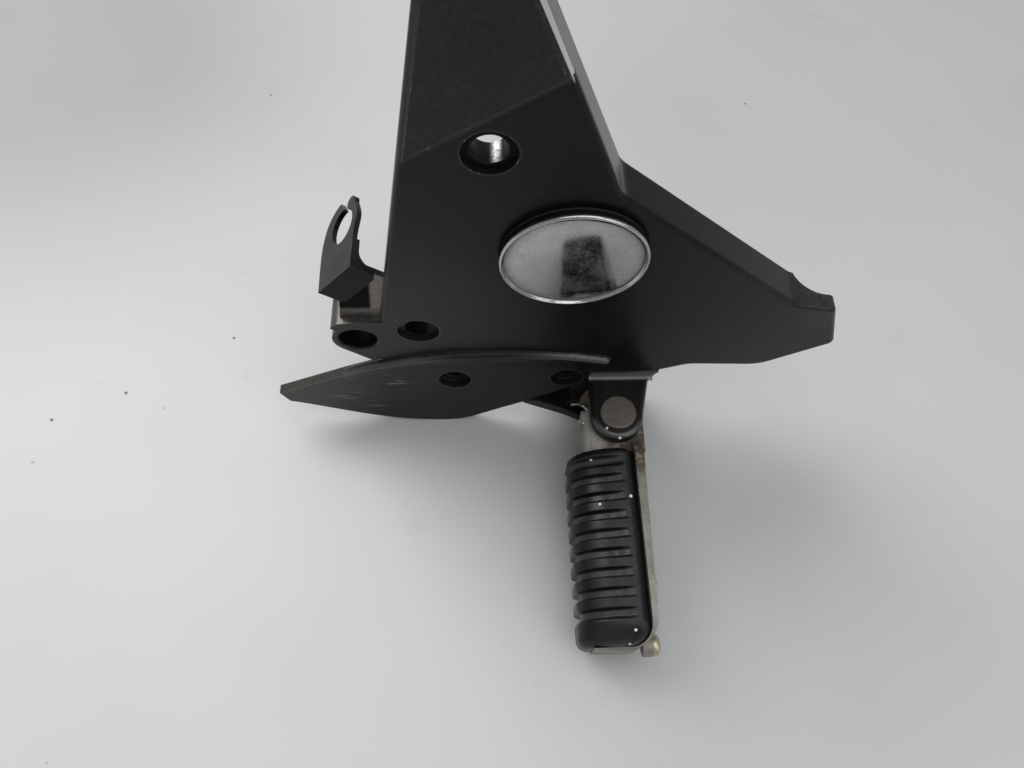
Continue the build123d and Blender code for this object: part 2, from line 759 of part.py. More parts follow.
def on_peg(solid):
    """A solid drawn square to the plate, turned with the peg about the hinge."""
    return Pos(pin_x, pin_y) * Rot(0, 0, peg_turn) * Pos(-pin_x, -pin_y) * solid


def pad_outline(inset, root_y, tip_y):
    """The pad seen from the side: Y to the left of the sketch's X, Z up, round at the tip."""
    half = pad_w / 2 - inset
    round_r = max(pad_tip_r - inset, 0.5)
    return outline([
        (root_y, peg_mid_z + half, pad_root_r),
        (root_y, peg_mid_z - half, pad_root_r),
        (tip_y, peg_mid_z - half, round_r),
        (tip_y, peg_mid_z + half, round_r),
    ])


def side_slab(sketch, low, high):
    """A sketch drawn in Y and Z, as a slab between two X positions."""
    return extrude(Plane.YZ.offset(low) * sketch, amount=high - low)


def bracket_tongue():
    """The tongue between the ears: barrel, flange, heel stop and the slotted horn on top."""
    barrel = post(barrel_r, tongue_low_z, tongue_top_z)
    flange = level_slab(outline([
        (pin_x - tongue_left, flange_back_y, flange_corner_r),
        (pin_x + tongue_right, flange_back_y, 0),
        (pin_x + tongue_right, peg_rubber_y, 0),
        (pin_x - tongue_left, peg_rubber_y, 0),
    ]), tongue_low_z, tongue_top_z)
    left_top = flange.faces().sort_by(Axis.Z)[-1].edges().sort_by(Axis.X)[0]
    flange = eased(flange, left_top, tongue_edge_r)
    stop_x = pin_x + tongue_right - heel_stop_w
    heel = level_slab(make_face(Polyline(
        (stop_x, -stop_gap), (pin_x + tongue_right, -stop_gap), (pin_x + tongue_right, pin_y),
        (pin_x, pin_y), (stop_x - 2.0, pin_y + barrel_r * 0.8), close=True)), tongue_low_z, tongue_top_z)
    horn = level_slab(Pos(pin_x, pin_y) * Circle(horn_r), tongue_top_z - horn_h, tongue_top_z)
    horn &= level_slab(Pos(stop_x - 50, pin_y + 50) * Rectangle(100, 100), tongue_top_z - horn_h, tongue_top_z)
    horn &= level_slab(Pos(pin_x - tongue_left + 1.0 + 50, pin_y) * Rectangle(100, 100),
                       tongue_top_z - horn_h, tongue_top_z)
    slot_y = (horn_slot_low_y + horn_slot_high_y) / 2
    slot_w = horn_slot_high_y - horn_slot_low_y
    horn -= Pos(pin_x - barrel_r - 10, slot_y, tongue_top_z) * Box(20, slot_w, 60)
    return barrel + flange + heel + horn


def bracket_pad():
    """The pad under the rubber: hollowed behind, with a tip that curls round the rubber's end."""
    root_y = peg_rubber_y + 4.0
    end_y = peg_tip_y - lip_t
    lip_x = pad_x - lip_reach
    plan = outline([
        (pad_x, root_y, 0),
        (pad_x + pad_t_root, root_y, 0),
        (pad_x + pad_t_tip, end_y, pad_corner_r),
        (lip_x, peg_tip_y - lip_edge_t, 0),
        (lip_x, peg_tip_y, 0),
        (pad_x, peg_tip_y, rubber_corner_r),
    ])
    pad = level_slab(plan, peg_mid_z - pad_w / 2, peg_mid_z + pad_w / 2)
    hollow_end = peg_tip_y + pad_corner_r
    pad -= side_slab(pad_outline(pad_rib_t, peg_rubber_y - pad_rib_t, hollow_end), pad_x + pad_floor_t, pad_x + 20)
    pad += side_slab(Pos(feeler_y, peg_mid_z) * Circle(feeler_boss_r),
                     pad_x + pad_floor_t - feeler_boss_t, pad_x + pad_floor_t)
    around = pad_outline(0, root_y, end_y) + Pos(feeler_y, peg_mid_z) * Circle(feeler_boss_r)
    return pad & side_slab(around, lip_x - 1, pad_x + 20)


def footpeg_bracket():
    """The alloy bracket of the peg, with its bores."""
    body = bracket_tongue() + on_peg(bracket_pad())
    low = tongue_low_z - 5
    body -= post(pin_r + pin_bore_gap, low, tongue_top_z + 5)
    # Room for the return spring and for the leg that stays still while the peg folds
    room_top = tongue_low_z + spring_room_h
    body -= post(spring_reach + spring_gap, low, room_top)
    sector = Pos(pin_x, pin_y) * make_face([
        Line((0, 0), (spring_room_r * cos(radians(spring_room_from)), spring_room_r * sin(radians(spring_room_from)))),
        CenterArc((0, 0), spring_room_r, spring_room_from, spring_room_to - spring_room_from),
        Line((spring_room_r * cos(radians(spring_room_to)), spring_room_r * sin(radians(spring_room_to))), (0, 0)),
    ])
    body -= level_slab(sector, low, room_top)
    for number in (0, 1):
        body -= on_peg(peg_rod(screw_y(number), screw_r + screw_gap, pad_x - 1, pad_x + through))
    seat = feeler_seat()
    body -= on_peg(peg_rod(feeler_y, feeler_shank_r + thread_gap, seat - feeler_shank_len, seat + 1))
    body -= on_peg(peg_rod(feeler_y, feeler_r + screw_gap, seat, seat + through))
    return body


def peg_rod(y, radius, low, high):
    """A cylinder across the peg, at a place along it, between two X positions."""
    return side_slab(Pos(y, peg_mid_z) * Circle(radius), low, high)


def screw_y(number):
    """The place of a rubber screw along the peg."""
    return peg_rubber_y - screw_first - number * screw_spacing


def feeler_seat():
    """Where the feeler bolt's head sits."""
    return pad_x + pad_floor_t


def rubber_section(inset, base_x, base_r):
    """The D-shaped section of the rubber in X and Z, its crown drawn with quarter ellipses."""
    half = rubber_w / 2 - inset
    crown = pad_x - rubber_h + inset
    reach = rubber_crown_h - inset
    width = rubber_crown_w - inset
    bend_x = crown + reach
    section = outline([
        (base_x, peg_mid_z - half, base_r),
        (base_x, peg_mid_z + half, base_r),
        (bend_x, peg_mid_z + half, 0),
        (bend_x, peg_mid_z - half, 0),
    ])
    section += Pos((crown + base_x) / 2, peg_mid_z) * Rectangle(base_x - crown, 2 * (half - width))
    for side in (1, -1):
        section += Pos(bend_x, peg_mid_z + side * (half - width)) * Ellipse(reach, width)
    return section


def footpeg_rubber():
    """The moulded rubber, grooved round its crown, with the pocket for its plate."""
    crown = pad_x - rubber_h
    section = front_slab(rubber_section(0, pad_x, rubber_base_r), peg_tip_y, peg_rubber_y)
    plan = level_slab(outline([
        (pad_x, peg_rubber_y, rubber_root_r),
        (crown, peg_rubber_y, rubber_nose_r),
        (crown, peg_tip_y, rubber_nose_r),
        (pad_x, peg_tip_y, rubber_corner_r),
    ]), peg_mid_z - rubber_w, peg_mid_z + rubber_w)
    side = side_slab(outline([
        (peg_rubber_y, peg_mid_z + rubber_w / 2, rubber_shoulder_r),
        (peg_rubber_y, peg_mid_z - rubber_w / 2, rubber_shoulder_r),
        (peg_tip_y, peg_mid_z - rubber_w / 2, rubber_tip_r),
        (peg_tip_y, peg_mid_z + rubber_w / 2, rubber_tip_r),
    ]), crown - 1, pad_x + 1)
    body = section & plan & side
    strip_x = pad_x - groove_strip
    core = front_slab(rubber_section(groove_depth, pad_x + 1, 0), peg_tip_y - 5, peg_rubber_y + 5)
    for number in range(groove_count):
        y = peg_rubber_y - groove_first - number * groove_pitch
        slab = level_slab(Pos((strip_x + crown - 5) / 2, y) * Rectangle(strip_x - crown + 5, groove_w),
                          peg_mid_z - rubber_w, peg_mid_z + rubber_w)
        body -= slab - core
    return on_peg(body - rubber_pocket())


def backing_outline(grown):
    """The backing plate seen from the side, from the peg's root to short of the feeler bolt."""
    root = peg_rubber_y - plate_root_gap
    tip = peg_tip_y + plate_tip_gap
    return Pos((root + tip) / 2, peg_mid_z) * RectangleRounded(
        root - tip + 2 * grown, plate_w + 2 * grown, plate_corner_r)


def rubber_pocket():
    """The room that the backing plate, its nuts, the screws and the feeler's boss take up."""
    gap = moulded_gap
    room = side_slab(backing_outline(gap), pad_x - backing_t - gap, pad_x + gap)
    for number in (0, 1):
        room += peg_rod(screw_y(number), weld_nut_r + gap, pad_x - backing_t - screw_pocket_t, pad_x)
    room += peg_rod(feeler_y, feeler_boss_r + gap, pad_x + pad_floor_t - feeler_boss_t - gap, pad_x + gap)
    return room


def rubber_backing_plate():
    """The steel plate bonded into the rubber, with two nuts welded on."""
    plate = side_slab(backing_outline(0), pad_x - backing_t, pad_x)
    for number in (0, 1):
        nut = Pos(screw_y(number), peg_mid_z) * RegularPolygon(weld_nut_r, 6)
        plate += side_slab(nut, pad_x - backing_t - weld_nut_h, pad_x - backing_t + 0.2)
        plate -= peg_rod(screw_y(number), screw_r + thread_gap, pad_x - through, pad_x + 1)
    return on_peg(plate)


def rubber_screw(number):
    """One socket-head screw that clamps the rubber's plate to the pad."""
    seat = pad_x + pad_floor_t + washer_t
    y = screw_y(number)
    body = peg_rod(y, screw_head_r, seat, seat + screw_head_h)
    body = eased(body, body.faces().sort_by(Axis.X)[-1].edges(), 0.8)
    shank = peg_rod(y, screw_r, pad_x - backing_t - screw_tip_t, seat + 0.2)
    body += chamfer(shank.faces().sort_by(Axis.X)[0].edges(), 0.5)
    socket = Pos(y, peg_mid_z) * RegularPolygon(screw_socket_r, 6)
    body -= side_slab(socket, seat + screw_head_h - screw_socket_depth, seat + through)
    return on_peg(body)


def rubber_washer(number):
    """One flat washer under a screw's head."""
    seat = pad_x + pad_floor_t
    ring = side_slab(Circle(washer_r) - Circle(screw_r + screw_gap), seat, seat + washer_t)
    return on_peg(Pos(0, screw_y(number), peg_mid_z) * ring)


def feeler_bolt():
    """The domed bolt that touches the road first when the peg leans."""
    seat = feeler_seat()
    head = peg_rod(feeler_y, feeler_r, seat, seat + feeler_h)
    head = fillet(head.faces().sort_by(Axis.X)[-1].edges(), feeler_dome_r)
    shank = peg_rod(feeler_y, feeler_shank_r, seat - feeler_shank_len + thread_gap, seat + 0.2)
    return on_peg(head + shank)


def split_pin_z():
    """The height of the split pin's hole, under the washer."""
    return lower_ear_low_z - pin_washer_t - pin_washer_gap - split_shank_r - split_gap


def pivot_pin():
    """The headed pin of the hinge, cross-drilled at its lower end."""
    end = lower_ear_low_z - pin_end
    shank = post(pin_r, end, ear_top_z + 0.5)
    shank = chamfer(shank.faces().sort_by(Axis.Z)[0].edges(), pin_end_chamfer)
    head = post(pin_head_r, ear_top_z, ear_top_z + pin_head_h)
    head = eased(head, head.faces().sort_by(Axis.Z)[-1].edges(), pin_head_edge)
    hole = Pos(pin_x, pin_y, split_pin_z()) * Rot(0, 90, 0) * Cylinder(split_shank_r + split_gap, 40)
    return shank + head - hole


def pin_washer():
    """The plain washer under the lower ear."""
    top = lower_ear_low_z
    return post(pin_washer_r, top - pin_washer_t, top) - post(pin_r + pin_washer_gap, top - 5, top + 5)


def split_pin():
    """The split pin: a slit shank, an eye and two tails bent apart."""
    reach = pin_r + split_reach
    shank = Rot(0, 90, 0) * Cylinder(split_shank_r, 2 * reach)
    eye_x = -reach - split_eye_r
    tails = None
    for sign in (1, -1):
        tail = Pos(reach - 0.2, sign * 0.35, 0) * Rot(0, 0, sign * split_bend) * Pos(split_tail / 2, 0, 0) * Rot(
            0, 90, 0) * Cylinder(split_wire_r, split_tail)
        tails = tail if tails is None else tails + tail
        tails += Pos(reach - 0.2, sign * 0.35, 0) * Sphere(split_wire_r)
    body = shank - Box(2 * reach + 2, split_slit, 4 * split_shank_r)
    body += Pos(eye_x, 0, 0) * Torus(split_eye_r, split_wire_r)
    body += tails
    return Pos(pin_x, pin_y, split_pin_z()) * body


def return_spring():
    """The torsion spring round the pin: its long leg bears on the post, its tail turns with the peg."""
    low = tongue_low_z + spring_lift
    # The coil ends on its far side from the peg, so that its leg leaves towards the post.
    turned = Rot(0, 0, 90 - spring_turns * 360) * Helix(spring_pitch, spring_turns * spring_pitch, spring_mean_r)
    coil = (Pos(pin_x, pin_y, low) * turned).edges()[0]
    tail = Line((coil @ 0) - (coil % 0) * spring_tail, coil @ 0)
    leg_z = (coil @ 1).Z
    front = -spring_post_proud - spring_wire_r - spring_post_gap
    leg = Spline(coil @ 1, (spring_post_x + spring_post_r / 2, front, leg_z),
                 (spring_post_x - spring_post_r / 2, front, leg_z), tangents=(coil % 1, (-1, 0, 0)))
    path = Wire([tail.edges()[0], coil, leg.edges()[0]])
    return sweep(Plane(origin=path @ 0, z_dir=path % 0) * Circle(spring_wire_r), path=path)


nodes = {
    "hanger_casting": hanger_casting,
    "pivot_cap": pivot_cap,
    "cap_gasket": cap_gasket,
    "hose_clip": hose_clip,
    "footpeg_bracket": footpeg_bracket,
    "footpeg_rubber": footpeg_rubber,
    "rubber_backing_plate": rubber_backing_plate,
    "rubber_screw_1": lambda: rubber_screw(0),
    "rubber_screw_2": lambda: rubber_screw(1),
    "rubber_washer_1": lambda: rubber_washer(0),
    "rubber_washer_2": lambda: rubber_washer(1),
    "feeler_bolt": feeler_bolt,
    "pivot_pin": pivot_pin,
    "pin_washer": pin_washer,
    "split_pin": split_pin,
    "return_spring": return_spring,
}

if __name__ == "__main__":
    for name, build in nodes.items():
        export_step(Pos(0, -bore_middle_y, 0) * build(), f"parts/{name}.step")
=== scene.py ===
"""Looks for a motorcycle's footrest hanger: finishes, the peg's rubber, the chromed cap and a plain stage."""

import math

import bmesh
import bpy
import numpy as np
from mathutils import Matrix, Vector


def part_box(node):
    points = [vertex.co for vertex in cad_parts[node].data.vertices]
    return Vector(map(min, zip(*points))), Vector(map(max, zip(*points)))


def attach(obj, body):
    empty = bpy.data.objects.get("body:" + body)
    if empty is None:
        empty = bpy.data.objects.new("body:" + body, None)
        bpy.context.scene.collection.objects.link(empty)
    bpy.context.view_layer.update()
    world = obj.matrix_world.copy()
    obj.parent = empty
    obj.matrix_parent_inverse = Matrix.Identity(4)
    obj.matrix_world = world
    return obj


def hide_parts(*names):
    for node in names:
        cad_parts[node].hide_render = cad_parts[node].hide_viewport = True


bl_info = {
    "name": "Footrest Hanger",
    "version": (1, 0, 0),
    "blender": (4, 5, 0),
    "location": "View3D > Sidebar > Footrest",
    "description": "Dresses a motorcycle's footrest hanger and its folding peg",
    "category": "Object",
}

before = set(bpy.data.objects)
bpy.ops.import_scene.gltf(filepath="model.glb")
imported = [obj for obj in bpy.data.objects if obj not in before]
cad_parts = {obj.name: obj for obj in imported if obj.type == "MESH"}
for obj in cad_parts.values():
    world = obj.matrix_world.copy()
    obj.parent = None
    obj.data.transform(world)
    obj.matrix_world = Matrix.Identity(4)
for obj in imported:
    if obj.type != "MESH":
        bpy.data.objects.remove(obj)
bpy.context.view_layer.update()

CAP_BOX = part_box("pivot_cap")

# The plate's outer face, the hinge's axis, and the peg's small turn from square to the plate
FACE_Y = -0.006
HINGE = Vector((0.0553, -0.0268, 0.0))
PEG_TURN = math.radians(0.9)

# The crease under the raised panel: its height at X = 0 and its slope
CREASE_Z = 0.0122
CREASE_SLOPE = 0.62

# Axes of the bores through the plate, in X and Z, and their radii
BOLTS = ((0.0, 0.0), (-0.033, -0.1055))
BOLT_R = 0.00575
SPOT_FACE_R = 0.0087
SIDE_BORE = (-0.0596, -0.1120)
SIDE_BORE_R = 0.0080
CYLINDER_HOLES = ((-0.0206, -0.1503), (0.0324, -0.1503))
CYLINDER_SEAT_R = 0.0070
BORE_SKIN = 0.0001

# The pieces that touch the floor: the blade, the hinge's pin and the peg
STANDS_ON = (("hanger_casting",), ("pivot_pin",), ("footpeg_rubber", "footpeg_bracket"))

# Where drops of pale paint have dried on the clevis, the tongue and the rubber
PAINT_DROPS = (
    ((0.0498, -0.0339, -0.1488), 0.00045),
    ((0.0556, -0.0385, -0.1498), 0.00060),
    ((0.0384, -0.0275, -0.1566), 0.00030),
    ((0.0397, -0.0285, -0.1554), 0.00030),
    ((0.0419, -0.0479, -0.1526), 0.00050),
    ((0.0443, -0.0694, -0.1500), 0.00050),
    ((0.0580, -0.0664, -0.1485), 0.00060),
    ((0.0554, -0.1227, -0.1497), 0.00050),
    ((0.0533, -0.1276, -0.1551), 0.00050),
)
DROP_EDGE = 0.0002
DROP_COLOUR = (0.86, 0.86, 0.84)

# The near-black of painted shade inside the bores and other recesses, and the height of every surface's grain
SHADE_BLACK = (0.002, 0.002, 0.002)
GRAIN = 0.0002

# Patches of the surface that look different: a middle, a radius and a soft border
PATCHES = {
    "scoop": ((0.140, 0.002, -0.094), 0.012, 0.010),
    "low corner reflection": ((-0.045, FACE_Y, -0.100), 0.018, 0.060),
    "blade tip": ((-0.098, -0.008, -0.158), 0.015, 0.035),
    "blade scratches": ((-0.062, -0.008, -0.158), 0.014, 0.012),
    "clevis ear": ((0.0550, -0.0300, -0.1490), 0.014, 0.005),
    "boss": ((-0.0605, 0.000, -0.0985), 0.007, 0.007),
    "lug": ((-0.0490, -0.003, -0.0840), 0.018, 0.008),
    "rubber tip sheen": ((0.0460, -0.1270, -0.1500), 0.004, 0.011),
    "peg root": ((0.066, -0.040, -0.152), 0.010, 0.010),
    "tongue heel": ((0.0405, -0.014, -0.156), 0.006, 0.006),
    "floor corner shade": ((-0.31, 0.27, -0.19), 0.06, 0.24),
}

# How finely the rubber is drawn: rings round each end and between, and points along its section
END_RINGS = 24
PLAIN_RINGS = 300
CROWN_STEPS = 30
CORNER_STEPS = 8
STRAIGHT_STEPS = 4
BASE_STEPS = 6
NOSE_STEPS = 5

# A groove's soft wall, how far it fades out before the plain strip, and how far it runs into it
GROOVE_WALL = 0.0006
GROOVE_FADE = 0.0090
GROOVE_END = 0.0004

# The cap's wall, its small corners, its hooks, and how far a leg is sunk into the shell
CAP_WALL = 0.0016
CAP_CORNER = 0.0002
HOOK_HEIGHT = 0.0018
LEG_SUNK = 0.0001

# How finely the cap is turned, and the places down the inside of its rim
TURN_STEPS = 144
ROLL_STEPS = 12
DOME_STEPS = 16
LEG_STEPS = 8
ROLL_DOWN = (0.15, 0.3, 0.45, 0.6, 0.75, 0.9, 1.0)

# Each lamp's place, size, power and colour, and the point they face
LAMPS = {
    "window": ((-0.75, 0.85, 1.15), 1.1, 19.0, (1.0, 0.99, 0.97)),
    "ceiling": ((0.25, -0.15, 1.55), 1.5, 10.0, (0.97, 0.985, 1.0)),
    "fill": ((0.9, -0.75, 0.6), 0.9, 3.0, (1.0, 1.0, 1.0)),
}
LAMPS_FACE = Vector((0.02, -0.036, -0.09))
ROOM_COLOUR = (0.80, 0.81, 0.83, 1.0)
ROOM_STRENGTH = 0.42

# The floor's half width, its gap below the feet, and how often it is tilted to find them
FLOOR_HALF = 2.6
FLOOR_GAP = 0.0001
FLOOR_TILTS = 8


class FOOTREST_PG_paint(bpy.types.PropertyGroup):
    """Colours and wear of the painted casting."""
    colour: bpy.props.FloatVectorProperty(
        name="Paint colour", description="Satin black over the casting", subtype="COLOR",
        default=(0.0032, 0.0032, 0.0036), min=0.0, max=1.0)
    # This colour also serves the painted reflection on the lower left and the wing.
    dust_and_painted_light: bpy.props.FloatVectorProperty(
        name="Dust colour", description="Dry film that browns the upper panel", subtype="COLOR",
        default=(0.05, 0.045, 0.04), min=0.0, max=1.0)
    metal: bpy.props.FloatVectorProperty(
        name="Bare metal", description="Alloy where the paint is rubbed through", subtype="COLOR",
        default=(0.52, 0.50, 0.47), min=0.0, max=1.0)
    roughness: bpy.props.FloatProperty(
        name="Roughness", description="Sheen of sound paint", default=0.33, min=0.0, max=1.0,
        subtype="FACTOR")
    wear_width: bpy.props.FloatProperty(
        name="Wear width", description="How far rubbing reaches from an edge", default=0.0007, min=0.0,
        unit="LENGTH")


class FOOTREST_PG_rubber(bpy.types.PropertyGroup):
    """Sizes and colours of the peg's rubber."""
    colour: bpy.props.FloatVectorProperty(
        name="Rubber colour", description="Clean rubber", subtype="COLOR",
        default=(0.0032, 0.0033, 0.0038), min=0.0, max=1.0)
    # This colour also serves the painted highlights along the grooves and on the tip.
    dust_and_painted_light: bpy.props.FloatVectorProperty(
        name="Dust colour", description="Dust held in the grooves", subtype="COLOR",
        default=(0.075, 0.064, 0.052), min=0.0, max=1.0)
    groove_count: bpy.props.IntProperty(
        name="Grooves", description="Number of grooves round the crown", default=9, min=0)
    groove_pitch: bpy.props.FloatProperty(
        name="Groove pitch", description="From one groove to the next", default=0.0083, unit="LENGTH")
    groove_width: bpy.props.FloatProperty(
        name="Groove width", description="Width at half depth", default=0.0035, unit="LENGTH")
    groove_depth: bpy.props.FloatProperty(
        name="Groove depth", description="Depth below the lands", default=0.0024, unit="LENGTH")
    groove_first: bpy.props.FloatProperty(
        name="First groove", description="From the rubber's inner end to the first groove", default=0.0062,
        unit="LENGTH")
    plain_strip: bpy.props.FloatProperty(
        name="Plain strip", description="Ungrooved strip beside the pad", default=0.0048, unit="LENGTH")
    crown_reach: bpy.props.FloatProperty(
        name="Crown reach", description="Length of the crown's curve along X", default=0.024, unit="LENGTH")
    crown_width: bpy.props.FloatProperty(
        name="Crown width", description="Length of the crown's curve along Z", default=0.014, unit="LENGTH")
    base_radius: bpy.props.FloatProperty(
        name="Base radius", description="Round of the corners beside the pad", default=0.005, unit="LENGTH")
    nose_radius: bpy.props.FloatProperty(
        name="Nose radius", description="Round of the crown at both ends", default=0.0045, unit="LENGTH")
    pad_radius: bpy.props.FloatProperty(
        name="Pad radius", description="Round of the base at the tip", default=0.008, unit="LENGTH")
    root_radius: bpy.props.FloatProperty(
        name="Root radius", description="Round of the base at the root", default=0.004, unit="LENGTH")
    tip_radius: bpy.props.FloatProperty(
        name="Tip radius", description="Round of the sides at the tip", default=0.011, unit="LENGTH")
    shoulder_radius: bpy.props.FloatProperty(
        name="Shoulder radius", description="Round of the sides at the root", default=0.0025, unit="LENGTH")


class FOOTREST_PG_cap(bpy.types.PropertyGroup):
    """Sizes and finish of the chromed cap."""
    rim_width: bpy.props.FloatProperty(
        name="Rim width", description="From the edge to the dish", default=0.0017, unit="LENGTH")
    edge_radius: bpy.props.FloatProperty(
        name="Edge radius", description="Round of the rim", default=0.0010, unit="LENGTH")
    height: bpy.props.FloatProperty(
        name="Height", description="Rim above the gasket", default=0.0035, unit="LENGTH")
    gasket: bpy.props.FloatProperty(
        name="Gasket", description="Thickness of the gasket under the rim", default=0.0008, unit="LENGTH")
    dish: bpy.props.FloatProperty(
        name="Dish", description="Depth of the dish at the rim", default=0.0012, unit="LENGTH")
    dome: bpy.props.FloatProperty(
        name="Dome", description="Rise of the middle", default=0.0014, unit="LENGTH")
    legs: bpy.props.IntProperty(name="Snap legs", description="Legs that hold the cap", default=6, min=0)
    leg_radius: bpy.props.FloatProperty(
        name="Leg radius", description="Outside of the snap legs", default=0.0228, unit="LENGTH")
    leg_width: bpy.props.FloatProperty(
        name="Leg width", description="Width of a snap leg", default=0.011, unit="LENGTH")
    hook: bpy.props.FloatProperty(
        name="Hook", description="Reach of the hook behind the plate", default=0.0011, unit="LENGTH")
    plate: bpy.props.FloatProperty(
        name="Plate", description="Plate that the hooks reach behind", default=0.0052, unit="LENGTH")
    colour: bpy.props.FloatVectorProperty(
        name="Chrome", description="Colour of clean chrome", subtype="COLOR", default=(0.50, 0.50, 0.51),
        min=0.0, max=1.0)


class FOOTREST_PG_stage(bpy.types.PropertyGroup):
    """Floor, lamps and camera."""
    floor_colour: bpy.props.FloatVectorProperty(
        name="Floor colour", description="Pale plain floor", subtype="COLOR", default=(0.62, 0.62, 0.61),
        min=0.0, max=1.0)
    camera_place: bpy.props.FloatVectorProperty(
        name="Camera", description="Where the camera stands", subtype="TRANSLATION",
        default=(0.0039, -0.1612, 0.1696))
    camera_tilt: bpy.props.FloatVectorProperty(
        name="Camera angles", description="Where the camera looks", subtype="EULER",
        default=(math.radians(25.3), 0.0, math.radians(-1.0)))
    lens: bpy.props.FloatProperty(name="Lens", description="Focal length in millimetres", default=26.19)


class Nodes:
    """A small helper that adds nodes to a tree and wires them."""

    def put(self, socket, value):
        """Links a socket, or sets its value."""
        if isinstance(value, bpy.types.NodeSocket):
            self.tree.links.new(value, socket)
        elif socket.type == "RGBA" and len(value) == 3:
            socket.default_value = (*value, 1.0)
        else:
            socket.default_value = value

    def node(self, kind, settings=None, **values):
        """Adds a node, with its settings and its inputs by name."""
        made = self.tree.nodes.new(kind)
        for key, value in (settings or {}).items():
            setattr(made, key, value)
        for key, value in values.items():
            self.put(made.inputs[key.replace("_", " ")], value)
        return made

    def maths(self, operation, *values, clamp=False):
        """A Math node's result."""
        made = self.node("ShaderNodeMath", {"operation": operation, "use_clamp": clamp})
        for socket, value in zip(made.inputs, values):
            self.put(socket, value)
        return made.outputs[0]

    def times(self, first, *others):
        """The product of two or more values."""
        product = first
        for other in others:
            product = self.maths("MULTIPLY", product, other)
        return product

    def larger(self, first, second):
        """The larger of two values."""
        return self.maths("MAXIMUM", first, second)

    def added(self, base, value, share):
        """A value's share added to a base."""
        return self.maths("MULTIPLY_ADD", value, share, base)

    def ramp(self, value, low, high, start=0.0, end=1.0):
        """A value carried smoothly from one range to another."""
        made = self.node("ShaderNodeMapRange", {"interpolation_type": "SMOOTHSTEP"}, Value=value,
                         From_Min=low, From_Max=high, To_Min=start, To_Max=end)
        return made.outputs[0]


class Finish(Nodes):
    """A material whose nodes read the piece's own coordinates."""

    def __init__(self, name):
        self.material = bpy.data.materials.new(name)
        self.material.use_nodes = True
        self.tree = self.material.node_tree
        self.tree.nodes.clear()
        self.output = self.node("ShaderNodeOutputMaterial")
        self.place = self.node("ShaderNodeTexCoord").outputs["Object"]
        self.x, self.y, self.z = self.node("ShaderNodeSeparateXYZ", Vector=self.place).outputs

    def blend(self, factor, first, second):
        """Two colours mixed by a factor."""
        made = self.node("ShaderNodeMix", {"data_type": "RGBA"}, Factor=factor)
        self.put(made.inputs[6], first)
        self.put(made.inputs[7], second)
        return made.outputs[2]

    def noise(self, scale, detail=3.0, roughness=0.55, vector=None):
        """Cloudy noise over the object, with its scale in features per metre."""
        made = self.node("ShaderNodeTexNoise", Vector=vector or self.place, Scale=scale, Detail=detail,
                         Roughness=roughness)
        return made.outputs["Fac"]

    def specks(self, scale, size):
        """Scattered specks: one where a cell's point is near, and nothing elsewhere."""
        cells = self.node("ShaderNodeTexVoronoi", Vector=self.place, Scale=scale)
        return self.ramp(cells.outputs["Distance"], size, size * 0.5)

    def distance(self, start, point):
        """How far a place lies from a point."""
        gap = self.node("ShaderNodeVectorMath", {"operation": "DISTANCE"})
        self.put(gap.inputs[0], start)
        self.put(gap.inputs[1], point)
        return gap.outputs["Value"]

    def near(self, centre, radius, soft):
        """One inside a ball about a point, fading outside it."""
        return self.ramp(self.distance(self.place, centre), radius + soft, radius)

    def patch(self, name):
        """One inside a named patch of the surface, fading outside it."""
        return self.near(*PATCHES[name])

    def around(self, axis, radius, soft):
        """One inside a cylinder about an axis along Y, fading outside it."""
        flat = self.node("ShaderNodeCombineXYZ", X=self.x, Z=self.z).outputs[0]
        return self.ramp(self.distance(flat, (axis[0], 0.0, axis[1])), radius + soft, radius)

    def facing(self):
        """The surface's direction, as X, Y and Z."""
        normal = self.node("ShaderNodeNewGeometry").outputs["Normal"]
        return tuple(self.node("ShaderNodeSeparateXYZ", Vector=normal).outputs)

    def edges(self, width):
        """How sharply the surface bends nearby: nothing on flats, up to one on edges."""
        bevel = self.node("ShaderNodeBevel", {"samples": 6}, Radius=width).outputs[0]
        normal = self.node("ShaderNodeNewGeometry").outputs["Normal"]
        turn = self.node("ShaderNodeVectorMath", {"operation": "DOT_PRODUCT"})
        self.put(turn.inputs[0], bevel)
        self.put(turn.inputs[1], normal)
        return self.ramp(turn.outputs["Value"], 0.985, 0.85)

    def bump(self, height, strength):
        """A bump normal from a height."""
        return self.node("ShaderNodeBump", Strength=strength, Distance=GRAIN, Height=height).outputs[0]

    def surface(self, **values):
        """A Principled shader with the given sockets."""
        return self.node("ShaderNodeBsdfPrincipled", **values).outputs[0]

    def mixed(self, factor, first, second):
        """Two shaders mixed by a factor."""
        made = self.node("ShaderNodeMixShader")
        for socket, value in zip(made.inputs, (factor, first, second)):
            self.put(socket, value)
        return made.outputs[0]

    def with_drops(self, look):
        """The look with dried drops of pale paint on it."""
        return self.mixed(drops(self), look, self.surface(Base_Color=DROP_COLOUR, Roughness=0.4))

    def done(self, shader):
        """Wires the shader to the output and gives the material."""
        self.tree.links.new(shader, self.output.inputs["Surface"])
        return self.material


def drops(f):
    """One inside each dried drop of paint, and nothing elsewhere."""
    share = 0.0
    for centre, radius in PAINT_DROPS:
        share = f.larger(share, f.near(centre, radius, DROP_EDGE))
    return share


def dress(node_name, material):
    """Gives a node of the frame its finish."""
    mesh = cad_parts[node_name].data
    mesh.materials.clear()
    mesh.materials.append(material)


